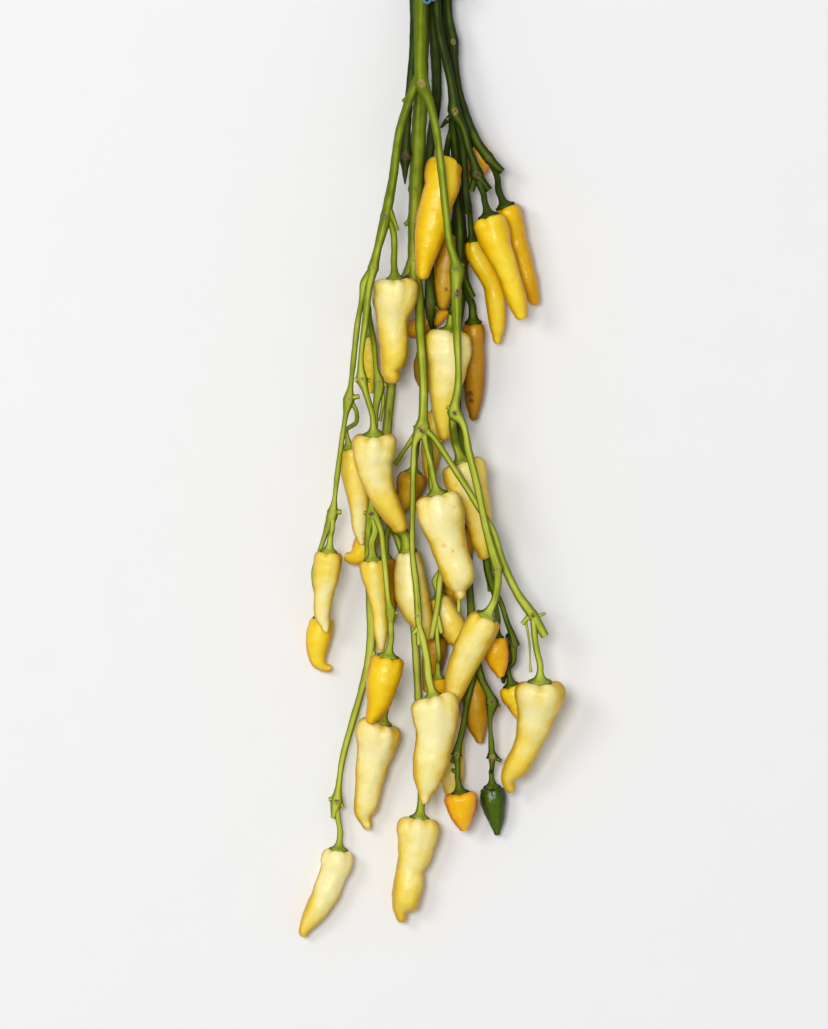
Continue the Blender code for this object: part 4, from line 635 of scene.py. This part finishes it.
def smooth_through(stations, values, at):
    """A cubic through the values at the stations, sloped as the neighbours are, read at given places."""
    stations = np.asarray(stations, float)
    values = np.asarray(values, float)
    at = np.asarray(at, float)
    slopes = np.gradient(values, stations, axis=0)
    span = np.clip(np.searchsorted(stations, at, side="right") - 1, 0, len(stations) - 2)
    width = stations[span + 1] - stations[span]
    part = (at - stations[span]) / width
    if values.ndim > 1:
        width = width[:, None]
        part = part[:, None]
    start = (1 + 2 * part) * (1 - part) ** 2 * values[span]
    end = part ** 2 * (3 - 2 * part) * values[span + 1]
    start_slope = part * (1 - part) ** 2 * width * slopes[span]
    end_slope = part ** 2 * (part - 1) * width * slopes[span + 1]
    return start + end + start_slope + end_slope


def distances_along(points):
    steps = np.linalg.norm(np.diff(np.asarray(points, float), axis=0), axis=1)
    return np.concatenate([[0.0], np.cumsum(steps)])


def unit(vectors):
    return vectors / np.linalg.norm(vectors, axis=-1, keepdims=True)


def smoothstep(low, high, value):
    part = np.clip((value - low) / (high - low), 0, 1)
    return part * part * (3 - 2 * part)


def turns(count):
    return np.linspace(0, 2 * math.pi, count, endpoint=False)


def spokes(turn, direction, up):
    """Unit vectors square to each direction, one for each turn from its side to the side nearest up."""
    side = unit(np.cross(direction, up))
    front = np.cross(side, direction)
    return np.cos(turn)[None, :, None] * side[:, None] + np.sin(turn)[None, :, None] * front[:, None]


def strand_places(turn, radius, travelled):
    """Places on a straight cylinder as long as the path, for noise that is stretched along it."""
    x, y = np.cos(turn)[None, :] * radius, np.sin(turn)[None, :] * radius
    return np.stack(np.broadcast_arrays(x, y, travelled[:, None]), axis=-1)


def fruit_spine(sections, along):
    """Places on the smooth spine at the given parts of its length, and the direction there."""
    points = np.array(sections, float)[:, :3]
    reach = distances_along(points)
    reach = reach / reach[-1]
    centre = smooth_through(reach, points, along)
    ahead = smooth_through(reach, points, np.minimum(along + 0.05, 1.0))
    behind = smooth_through(reach, points, np.maximum(along - 0.05, 0.0))
    return centre, unit(ahead - behind)


def half_widths(sections, along):
    sections = np.array(sections, float)
    reach = distances_along(sections[:, :3])
    return smooth_through(reach / reach[-1], sections[:, 3] / 2, np.clip(along, SHOULDER_AT, TIP_AT))


class Surface:
    """Closed rings of points joined into one surface, with named values at each point."""

    def __init__(self):
        self.points = []
        self.faces = []
        self.values = {}
        self.count = 0

    def add(self, rings, first, last, values):
        """Rings (rows, columns, 3) between two end points; each value is (rows, columns), its ends taken
        from the nearest ring's mean."""
        rows, columns = rings.shape[:2]
        start = self.count
        grid = start + 1 + np.arange(rows * columns).reshape(rows, columns)
        after = np.roll(grid, -1, axis=1)
        end = start + 1 + rows * columns
        quads = np.stack([grid[:-1], after[:-1], after[1:], grid[1:]], axis=-1).reshape(-1, 4)
        first_fan = np.stack([np.full(columns, start), after[0], grid[0]], axis=-1)
        last_fan = np.stack([np.full(columns, end), grid[-1], after[-1]], axis=-1)
        self.points.append(np.concatenate([[first], rings.reshape(-1, 3), [last]]))
        self.faces += quads.tolist() + first_fan.tolist() + last_fan.tolist()
        for name, value in values.items():
            value = np.broadcast_to(value, (rows, columns) + np.shape(value)[2:])
            flat = value.reshape((rows * columns,) + value.shape[2:])
            ends = [value[0].mean(axis=0)[None], flat, value[-1].mean(axis=0)[None]]
            self.values.setdefault(name, []).append(np.concatenate(ends))
        self.count = end + 1

    def finish(self, name, material, node):
        """The mesh as a piece that rides on the body and stands for its node."""
        points = (np.concatenate(self.points) + ORIGIN_SHIFT) * MM
        mesh = bpy.data.meshes.new(name)
        mesh.from_pydata(points, [], self.faces)
        mesh.shade_smooth()
        for label, parts in self.values.items():
            values = np.concatenate(parts).astype(np.float32)
            vector = values.ndim > 1
            layer = mesh.attributes.new(label, "FLOAT_VECTOR" if vector else "FLOAT", "POINT")
            layer.data.foreach_set("vector" if vector else "value", values.ravel())
        mesh.update()
        mesh.materials.append(material)
        piece = bpy.data.objects.new(name, mesh)
        bpy.context.scene.collection.objects.link(piece)
        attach(piece, "root")
        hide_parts(node)
        return piece


def fruit_rows(detail):
    """Rows along a fruit, over its crown, body and tip: the part of its length and the share of its
    width at each, and how far out from the axis each is on the crown."""
    crown_rows, body_rows, tip_rows, _ = GRIDS[detail]
    arc = np.linspace(0, math.pi / 2, crown_rows + 1)[1:]
    crown_share = np.sin(arc) ** CROWN_SQUARENESS
    crown_along = SHOULDER_AT * (1 - np.cos(arc) ** CROWN_SQUARENESS)
    body_along = np.linspace(SHOULDER_AT, TIP_AT, body_rows + 1)[1:]
    tip_arc = np.linspace(0, math.pi / 2, tip_rows + 2)[1:-1]
    tip_along = TIP_AT + (1 - TIP_AT) * np.sin(tip_arc)
    along = np.concatenate([crown_along, body_along, tip_along])
    share = np.concatenate([crown_share, np.ones(body_rows), np.cos(tip_arc) ** 0.8])
    out = np.concatenate([crown_share, np.ones(body_rows + tip_rows)])
    return along, share, out


def fruit_skin(name, material):
    """A chilli's skin.

    Along the fruit, rows run over a squared crown, the body and a rounded tip; round it, the radius is
    half the width, less a soft groove at each groove's turn that fades away from the crown, and uneven by a
    few slow waves. The crown swells towards the stalk between the grooves and sinks where the calyx sits.
    """
    skin, detail, sections, (lobes, lobe_turn), calyx = CHILLIES[name]
    default = tuple(lobe_turn + (k + 0.5) * 360 / lobes for k in range(lobes))
    ripe_crown, ripe_tip, grooves = LOOKS.get(name, (0.5, 0.5, default))
    number = int(name[-2:])
    random = np.random.default_rng(number)
    along, share, out = fruit_rows(detail)
    half_width = half_widths(sections, along) * share
    shoulder = sections[1][3] / 2
    out = out[:, None]

    turn = turns(GRIDS[detail][3])
    nearest = np.array([[(math.degrees(a) - g + 180) % 360 - 180 for a in turn] for g in grooves])
    groove = np.clip(np.exp(-(nearest / GROOVE_SPREAD) ** 2).sum(axis=0), 0, 1)[None, :]
    fade = np.exp(-along / GROOVE_FADES) + GROOVE_STAYS * np.clip(1 - along / 0.8, 0, 1)
    fade = fade[:, None] * smoothstep(0.1, 0.8, out)
    wave = np.zeros((len(along), len(turn)))
    for order, size in BODY_WAVES:
        speed = random.uniform(-1.5, 1.5)
        phase = random.uniform(0, 2 * math.pi)
        wave += size * np.sin(order * turn[None, :] + phase + 2 * math.pi * speed * along[:, None])
    for speed in LENGTH_WAVES:
        ring = np.sin(2 * math.pi * speed * along + random.uniform(0, 6))[:, None]
        wave += LENGTH_WAVE_SIZE * ring * (1 + 0.8 * np.sin(turn + random.uniform(0, 6)))[None, :]
    radius = half_width[:, None] * (1 - GROOVE_DEPTH * fade * groove) * (1 + wave * smoothstep(0, 0.5, out))

    uneven = 1 + 0.3 * np.sin(turn + random.uniform(0, 6)) + 0.2 * np.sin(2 * turn + random.uniform(0, 6))
    bulge = np.sin(math.pi * np.clip(out, 0, 1) ** 2.2) ** 1.1
    swell = CROWN_SWELL * shoulder * (1 - groove) * uneven * bulge
    sink = CROWN_SINK * shoulder * np.exp(-(out * shoulder / calyx) ** 2)
    lift = np.where(along[:, None] < SHOULDER_AT, sink - swell, 0.0)

    centre, direction = fruit_spine(sections, along)
    around = spokes(turn, direction, (0, 0, 1))
    rings = centre[:, None] + lift[..., None] * direction[:, None] + radius[..., None] * around
    rings[..., 2] = np.maximum(rings[..., 2], 0.0)

    ends, end_directions = fruit_spine(sections, np.array([0.0, 1.0]))
    first = ends[0] + CROWN_SINK * shoulder * end_directions[0]
    length = distances_along(np.array(sections)[:, :3])[-1]
    surface = Surface()
    values = {
        "along": along[:, None],
        # The groove and facing values also drive the skin's colour: painted light where it faces up, painted
        # shade at its sides and in the grooves.
        "groove": groove * fade,
        "facing": around[..., 2],
        "ripe": (ripe_crown + (ripe_tip - ripe_crown) * smoothstep(0.15, 1.0, along))[:, None],
        "strand": strand_places(turn, shoulder, along * length) + 100 * number,
    }
    surface.add(rings, first, ends[1], values)
    piece = surface.finish(name + "_skin", material, name)


def scar_marks(name, rings):
    """For each kind of scar, 1 at the middle of a scar and 0 outside."""
    marks = {kind: np.zeros(rings.shape[:2]) for kind in SCAR_KINDS}
    for x, y, size, kind in SCARS.get(name, []):
        distance = np.hypot(rings[..., 0] - x, rings[..., 1] - y)
        mark = 1 - smoothstep(0.0, 1.1 * size, distance)
        marks[SCAR_KINDS[kind]] = np.maximum(marks[SCAR_KINDS[kind]], mark)
    return marks


def run_shape(name, random, turn, centre, rib, flare, travelled):
    """How much wider a run is at each point: ribs, slow waves and knobs where a scar sits on a knot."""
    uneven = 0.03 * np.sin(travelled * 0.35 + random.uniform(0, 6)) + 0.02 * np.sin(travelled * 0.9)
    knot = np.zeros(len(centre))
    for x, y, size, _ in SCARS.get(name, []):
        distance = np.hypot(centre[:, 0] - x, centre[:, 1] - y)
        knot = np.maximum(knot, np.exp(-(distance / (0.7 * size)) ** 2))
    knobs = 0.10 + 0.07 * np.sin(2 * turn[None, :] + 1.9 * travelled[:, None])
    knobs = knobs + 0.06 * np.sin(3 * turn[None, :] - 2.7 * travelled[:, None])
    return 1 + (0.02 + 0.04 * flare) * rib + uneven[:, None] * (1 - flare) + knobs * knot[:, None]


def add_run(surface, name, number, fruit, points):
    """A branch: rings of a slowly turning ribbed section along the smooth path.

    Where the run bears a fruit, it goes on along the fruit's axis, flares into the calyx by a falling
    exponential of the height above the crown, and ends in a rim of five teeth that lean down on the crown.
    A run without a fruit ends in a cut face, and every run starts with one.
    """
    random = np.random.default_rng(100 * number + len(name))
    points = np.array(points, float)
    if fruit:
        wide = CHILLIES[fruit][4]
        crown, axis = (found[0] for found in fruit_spine(CHILLIES[fruit][2], np.array([0.0])))
        stalk = STALK_WIDENING * points[-1, 3]
        tail = crown - STALK_STEPS[:, None] * axis
        points = np.concatenate([points, np.column_stack([tail, np.full(len(tail), stalk)])])
    reach = distances_along(points[:, :3])
    count = max(3, math.ceil(reach[-1] / STEM_STEP))
    path = smooth_through(reach, points, np.linspace(0, reach[-1], count + 1))
    centre, radius = path[:, :3], np.maximum(path[:, 3], STEM_THINNEST)
    height = np.full(len(centre), FAR_FROM_CROWN)
    if fruit:
        centre = np.concatenate([centre, crown - CALYX_RISES[:, None] * axis])
        radius = np.concatenate([radius, np.full(len(CALYX_RISES), stalk)])
        height = np.concatenate([height[:-1], STALK_STEPS[-1:], CALYX_RISES])
        radius = radius + (wide - stalk) * np.exp(-(height - CALYX_RISES[-1]) / CALYX_FALL)
    tangent = unit(np.gradient(centre, axis=0))
    if fruit:
        tangent[-len(CALYX_RISES):] = axis

    turn = turns(STEM_COLUMNS)
    travelled = distances_along(centre)
    ribs = 5 if radius.max() < 3.2 or fruit else 6
    twist = random.uniform(0, 6) + travelled * random.uniform(-0.012, 0.012)
    rib = np.cos(ribs * turn[None, :] + twist[:, None])
    flare = np.exp(-(height - CALYX_RISES[-1]) / FLARE_FALL)[:, None]
    shape = run_shape(name, random, turn, centre, rib, flare, travelled)
    around = spokes(turn, tangent, (0.35, 0.0, 1.0))
    rings = centre[:, None] + (radius[:, None] * shape)[..., None] * around
    rings[..., 2] = np.maximum(rings[..., 2], 0.02)
    cut = np.zeros(rings.shape[:2])

    if fruit:
        tooth = np.clip(rib[-1], 0, 1)[:, None] ** 2
        rim_radius = wide * (RIM_WIDTH + TOOTH_WIDTH * tooth)
        rim = crown - (RIM_RISE - TOOTH_DROP * tooth) * axis + rim_radius * around[-1]
        under = crown + 0.5 * axis + 0.93 * rim_radius * around[-1]
        closing, steps, last = [rim, under], [0.6, 1.2], crown + 0.9 * axis
    else:
        face = centre[-1] + CUT_FACE * (rings[-1] - centre[-1]) + 0.12 * tangent[-1]
        closing, steps, last = [face], [0.3], centre[-1] - 0.15 * tangent[-1]
        cut[-1] = 0.25
    opening = centre[0] + CUT_FACE * (rings[0] - centre[0]) - 0.12 * tangent[0]
    added = len(closing)
    rings = np.concatenate([[opening], rings, closing])
    cut = np.concatenate(
        [np.ones((1, STEM_COLUMNS)), cut, np.full((added, STEM_COLUMNS), 0.0 if fruit else 1.0)]
    )
    rib = np.concatenate([rib[:1], rib] + [rib[-1:]] * added)
    travelled = np.concatenate([travelled[:1], travelled, travelled[-1] + np.array(steps)])
    flare = np.concatenate([flare[:1], flare, np.full((added, 1), 1.0 if fruit else 0.0)])

    outward = rings - rings.mean(axis=1, keepdims=True)
    values = {
        # The facing value also drives the bark's colour: painted light where it faces up, painted shade at
        # the sides.
        "facing": outward[..., 2] / (np.linalg.norm(outward, axis=-1) + 1e-6),
        "rib": rib,
        "flare": flare,
        "cut": cut,
        "strand": strand_places(turn, 3.0, travelled) + 37.0 * number,
        **scar_marks(name, rings),
    }
    surface.add(rings, centre[0] + 0.15 * tangent[0], last, values)


def stem_bark(name, material):
    """A branch's runs, stalks and short stubs, in one surface."""
    surface = Surface()
    runs = STEMS[name][1] + [(None, points) for points in TWIGS.get(name, [])]
    for number, (fruit, points) in enumerate(runs):
        add_run(surface, name, number, fruit, points)
    piece = surface.finish(name + "_bark", material, name)


def add_cord(surface, centre, radius):
    """A cord of three twisted strands along a path."""
    tangent = unit(np.gradient(centre, axis=0))
    turn = turns(CORD_COLUMNS)
    strands = np.abs(np.cos(1.5 * (turn[None, :] - CORD_TWIST * distances_along(centre)[:, None])))
    shape = radius * (1 - CORD_PARTS + CORD_PARTS * strands)
    rings = centre[:, None] + shape[..., None] * spokes(turn, tangent, (0.2, 0.3, 1.0))
    surface.add(rings, centre[0], centre[-1], {"strands": strands})


def tie_band(material):
    """Turns of cord laid side by side round the branches: an oval that moves along by one pitch a turn."""
    surface = Surface()
    angle = np.linspace(0, 2 * math.pi * TIE_TURNS, int(TIE_ROWS * TIE_TURNS))
    shift = TIE_PITCH * (angle / (2 * math.pi) - TIE_TURNS / 2)
    path = np.column_stack([TIE_HALF_WIDTH * np.cos(angle), shift, TIE_HALF_HEIGHT * np.sin(angle)])
    add_cord(surface, path + np.array(TIE_CENTRE), TIE_CORD_RADIUS)
    piece = surface.finish("tie_turns", material, "tie_band")


def tie_loops(material):
    """Small rings of the same cord, each closed on itself with its ends pushed into one another."""
    surface = Surface()
    for centre, ring_radius, cord_radius in TIE_LOOPS:
        angle = np.linspace(math.pi / 2, math.pi / 2 + LOOP_SWEEP * math.pi, LOOP_ROWS)
        lift = LOOP_LIFT * np.sin(2 * angle)
        path = np.column_stack([ring_radius * np.cos(angle), ring_radius * np.sin(angle), lift])
        add_cord(surface, path + np.array(centre), cord_radius)
    piece = surface.finish("tie_eyes", material, "tie_loop")


class Field:
    """A value in a material's nodes: Python's operators on it add Math nodes."""

    def __init__(self, paint, socket):
        self.paint = paint
        self.socket = socket

    def _math(self, operation, *values):
        return self.paint.field("ShaderNodeMath", {"operation": operation}, dict(enumerate(values)))

    def __add__(self, other):
        return self._math("ADD", self, other)

    __radd__ = __add__

    def __sub__(self, other):
        return self._math("SUBTRACT", self, other)

    def __rsub__(self, other):
        return self._math("SUBTRACT", other, self)

    def __mul__(self, other):
        return self._math("MULTIPLY", self, other)

    def __truediv__(self, other):
        return self._math("DIVIDE", self, other)

    def __pow__(self, other):
        return self._math("POWER", self, other)

    def between(self, low, high):
        """0 below low, 1 above high and smooth in between."""
        values = {"Value": self, "From Min": low, "From Max": high}
        return self.paint.field("ShaderNodeMapRange", {"interpolation_type": "SMOOTHSTEP"}, values)

    def clipped(self):
        return self.paint.field("ShaderNodeClamp", {}, {"Value": self})

    def largest(self, other):
        return self._math("MAXIMUM", self, other)

    def size(self):
        return self._math("ABSOLUTE", self)


class Paint:
    """A material being made, with one way to add any node."""

    def __init__(self, name):
        self.material = bpy.data.materials.new(name)
        self.material.use_nodes = True
        self.tree = self.material.node_tree
        self.shader = self.tree.nodes["Principled BSDF"]

    def node(self, kind, settings, values):
        """A node of a type, with its settings made first, then its sockets' values or links."""
        node = self.tree.nodes.new(kind)
        for key, setting in settings.items():
            setattr(node, key, setting)
        for key, value in values.items():
            self.give(node.inputs[key], value)
        return node

    def give(self, socket, value):
        if isinstance(value, Field):
            self.tree.links.new(value.socket, socket)
        else:
            socket.default_value = value

    def field(self, kind, settings, values, output=0):
        return Field(self, self.node(kind, settings, values).outputs[output])

    def named(self, name, output="Fac"):
        return self.field("ShaderNodeAttribute", {"attribute_name": name}, {}, output)

    def noise(self, place, scale, detail=3.0, roughness=0.55):
        values = {"Vector": place, "Scale": scale, "Detail": detail, "Roughness": roughness}
        return self.field("ShaderNodeTexNoise", {}, values)

    def mix(self, share, first, second):
        """The first colour, giving way to the second as the share goes from 0 to 1."""
        return self.field("ShaderNodeMix", {"data_type": "RGBA"}, {0: share, 6: first, 7: second}, 2)

    def scaled(self, vector, factors):
        return self.field("ShaderNodeVectorMath", {"operation": "MULTIPLY"}, {0: vector, 1: factors})

    def place(self):
        return self.field("ShaderNodeTexCoord", {}, {}, "Object")

    def axis(self, vector, number):
        return self.field("ShaderNodeSeparateXYZ", {}, {"Vector": vector}, number)

    def bump(self, height, distance, strength=1.0):
        values = {"Height": height, "Distance": distance, "Strength": strength}
        return self.field("ShaderNodeBump", {}, values)

    def finish(self, **sockets):
        for key, value in sockets.items():
            self.give(self.shader.inputs[key.replace("_", " ")], value)
        return self.material


def spot_mask(paint, spots, place, facing):
    """1 inside the spots, with ragged edges, on the side of the skin that faces up."""
    x = paint.axis(place, 0)
    y = paint.axis(place, 1)
    ragged = paint.noise(place, 900.0, 2.0)
    mask = None
    for spot_x, spot_y, size, strength in spots:
        across = x - (spot_x + ORIGIN_SHIFT[0]) * MM
        down = y - (spot_y + ORIGIN_SHIFT[1]) * MM
        distance = (across * across + down * down) ** 0.5 / (size * MM) + (ragged - 0.5) * 2.2
        spot = (1 - distance.between(0.2, 1.3)) * strength
        mask = spot if mask is None else mask.largest(spot)
    return mask * facing.between(0.0, 0.2)


def skin_material(name):
    """A smooth, waxy skin, pale where it faces up and golden at its sides and in its grooves: painted light
    on top, painted shade at the sides and in the grooves, deepest at the rim.

    Slow noise drifts the colour, noise stretched along the fruit draws faint streaks, and a fine one
    stipples the skin. It ripens along the fruit, and spots have ragged edges.
    """
    *colours, roughness = SKINS[name]
    pale, body, edge, rim_painted_shade = (srgb(*colour) for colour in colours)
    paint = Paint("skin_" + name)
    place = paint.place()
    facing = paint.named("facing")
    groove = paint.named("groove")
    ripe = paint.named("ripe")
    along = paint.named("along")
    drift = paint.noise(place, 55.0)
    marble = paint.noise(place, 150.0)
    lump = paint.noise(place, 190.0, 2.0)
    stipple = paint.noise(place, 1500.0, 2.0)
    streak = paint.noise(paint.scaled(paint.named("strand", "Vector"), (0.5, 0.5, 0.06)), 1.0, 4.0)

    # How far the skin turns from facing up, which sets the painted light and shade below.
    turned = 1 - facing.size()
    uneven = (drift - 0.5) * 0.5 + (streak - 0.5) * 0.3 + (marble - 0.5) * 0.6
    # Pale on top, ripe colour towards the sides: the fruit's ripeness, mixed with painted light on top and
    # painted shade at the sides and in the grooves.
    ripeness_and_painted_shade = ripe + turned * 1.3 + groove * 0.4 + uneven * 1.5
    colour = paint.mix(ripeness_and_painted_shade.between(0.1, 1.0), pale, body)
    # Golden towards the sides and in the grooves: mostly painted shade, with some of the fruit's ripeness
    # and its golden tip.
    edged = turned * (along * 0.3 + 0.8) + (ripe - 0.4) * 0.25
    edged = edged + uneven * 0.6 + groove * 0.2 + along ** 6 * 0.3
    colour = paint.mix(edged.between(0.16, 0.68), colour, edge)
    # Painted shade at the rim, where the skin turns furthest from up.
    colour = paint.mix((turned + uneven * 0.3).between(0.45, 1.15) * 0.85, colour, rim_painted_shade)
    # Painted shade in the grooves.
    colour = paint.mix((groove + (drift - 0.5) * 0.8).between(0.4, 1.3) * 0.5, colour, edge)
    if name in SPOTS:
        spot, spots = SPOTS[name]
        colour = paint.mix(spot_mask(paint, spots, place, facing), colour, srgb(*spot))
    return paint.finish(
        Base_Color=colour,
        Roughness=drift * 0.14 + stipple * 0.06 + (roughness - 0.14),
        Normal=paint.bump(stipple * 0.05 + streak * 0.3 + lump * 1.1, 0.001, 0.6),
        Specular_IOR_Level=0.34,
        Subsurface_Weight=0.1,
        Subsurface_Radius=(0.9, 0.55, 0.12),
        Subsurface_Scale=0.003,
    )


def stem_material(name):
    """A green stem, streaked along its length, with painted light where it faces up and painted shade at its
    sides and towards the tie.

    Scars are ragged, brown in the middle and tan round it, cut ends are cream, and the calyx has its own
    green.
    """
    crest_and_painted_light, body, edge, deepest_painted_shade, calyx = (srgb(*colour) for colour in BARKS[name])
    paint = Paint(name)
    place = paint.place()
    turned = 1 - paint.named("facing").size()
    streak = paint.noise(paint.scaled(paint.named("strand", "Vector"), (1.5, 1.5, 0.05)), 1.0, 4.0, 0.6)
    drift = paint.noise(place, 60.0, 2.0)
    speck = paint.noise(place, 1100.0, 2.0)
    blotch = paint.noise(place, 520.0)
    # Painted shade that darkens the branches towards the tie.
    painted_shade_near_tie = paint.axis(place, 1).between(*BARK_DARKENS)
    # The bark's own streaks and drift, lowered by the painted shade near the tie.
    level = paint.named("rib") * 0.08 + 0.86 + (streak - 0.5) + (drift - 0.5) - painted_shade_near_tie * 0.42
    colour = paint.mix(level.between(0.25, 0.6), edge, body)
    # Painted light where the stem faces up, with a little of its ribs.
    colour = paint.mix((level - turned * 0.9).between(0.4, 0.95), colour, crest_and_painted_light)
    colour = paint.mix(paint.named("flare") * 0.45, colour, calyx)
    # Painted shade at the sides and towards the tie, deepest where the stem turns furthest from up.
    shaded = turned + (streak - 0.5) * 0.5 + painted_shade_near_tie * 0.24
    colour = paint.mix(shaded.between(0.1, 0.62) * 0.9, colour, edge)
    colour = paint.mix(shaded.between(0.5, 1.3) * 0.8, colour, deepest_painted_shade)
    height = streak * 0.8 + speck * 0.2
    ragged = (speck - 0.5) + (blotch - 0.5) * 2.4 + 1
    for kind, (ring, middle, middle_from) in SCAR_COLOURS.items():
        scar = paint.named(kind) * ragged
        colour = paint.mix(scar.between(0.3, 0.75) * 0.6, colour, srgb(*ring))
        colour = paint.mix(scar.between(*middle_from) * 0.8, colour, srgb(*middle))
        height = height + scar.clipped() * 0.6
    colour = paint.mix(paint.named("cut").between(0.1, 0.9), colour, srgb(206, 192, 132))
    return paint.finish(
        Base_Color=colour,
        Roughness=0.42 + streak * 0.16,
        Normal=paint.bump(height, 0.00025),
        Specular_IOR_Level=0.14,
    )


def tie_material():
    """Twisted plastic cord: lighter on the strands and darker between them as painted shade in the grooves,
    with fine fibres.
    """
    paint = Paint("tie_blue")
    strands = paint.named("strands")
    fibre = paint.noise(paint.place(), 2200.0)
    # Painted shade between the strands, with the fibres' own speckle.
    level = strands * 0.8 + (fibre - 0.5) * 0.7
    return paint.finish(
        Base_Color=paint.mix(level.between(0.0, 0.9), srgb(48, 82, 112), srgb(96, 148, 178)),
        Roughness=0.5 + fibre * 0.1,
        Normal=paint.bump(fibre * 0.6 + strands * 0.4, 0.0002),
    )


def make_stage():
    """A plain pale floor, even light from all round and three lamps: one overhead, two from the sides."""
    bpy.ops.mesh.primitive_plane_add(size=6.0, location=(0.0, 0.0, -0.0002))
    floor = bpy.context.object
    floor.name = "floor"
    paint = Paint("floor_pale")
    grain = paint.noise(paint.place(), 30.0, 2.0)
    colour = paint.mix(grain, srgb(243, 243, 243), srgb(245, 245, 245))
    floor.data.materials.append(paint.finish(Base_Color=colour, Roughness=0.9))

    scene = bpy.context.scene
    scene.world = bpy.data.worlds.new("studio")
    scene.world.use_nodes = True
    background = scene.world.node_tree.nodes["Background"]
    background.inputs["Color"].default_value = (1.0, 1.0, 1.0, 1.0)
    background.inputs["Strength"].default_value = SKY_STRENGTH
    scene.view_settings.view_transform = "Standard"
    for name, (place, size, power) in LAMPS.items():
        light = bpy.data.lights.new(name, "AREA")
        light.shape = "RECTANGLE"
        light.size, light.size_y = size
        light.energy = power
        lamp = bpy.data.objects.new(name, light)
        lamp.location = place
        lamp.rotation_euler = Vector(place).to_track_quat("Z", "Y").to_euler()
        scene.collection.objects.link(lamp)


def make_camera():
    """Looks straight down on the bunch from far off, with the photo's frame."""
    camera = bpy.data.cameras.new("camera")
    camera.sensor_fit = "VERTICAL"
    camera.sensor_height = 24.0
    camera.lens = camera.sensor_height * (CAMERA_HEIGHT - MIDDLE_HEIGHT) / (PHOTO_HEIGHT * PIXEL * MM)
    camera.clip_end = 20.0
    viewer = bpy.data.objects.new("camera", camera)
    x = (PHOTO_WIDTH / 2 - PHOTO_ZERO_X) * PIXEL
    y = -PHOTO_HEIGHT / 2 * PIXEL
    viewer.location = ((x + ORIGIN_SHIFT[0]) * MM, (y + ORIGIN_SHIFT[1]) * MM, CAMERA_HEIGHT)
    bpy.context.scene.collection.objects.link(viewer)
    bpy.context.scene.camera = viewer


def main():
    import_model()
    make_camera()
    make_stage()
    skins = {name: skin_material(name) for name in SKINS}
    barks = {name: stem_material(name) for name in BARKS}
    for name in CHILLIES:
        fruit_skin(name, skins[CHILLIES[name][0]])
    for name in STEMS:
        stem_bark(name, barks[STEMS[name][0]])
    tie = tie_material()
    tie_band(tie)
    tie_loops(tie)


main()
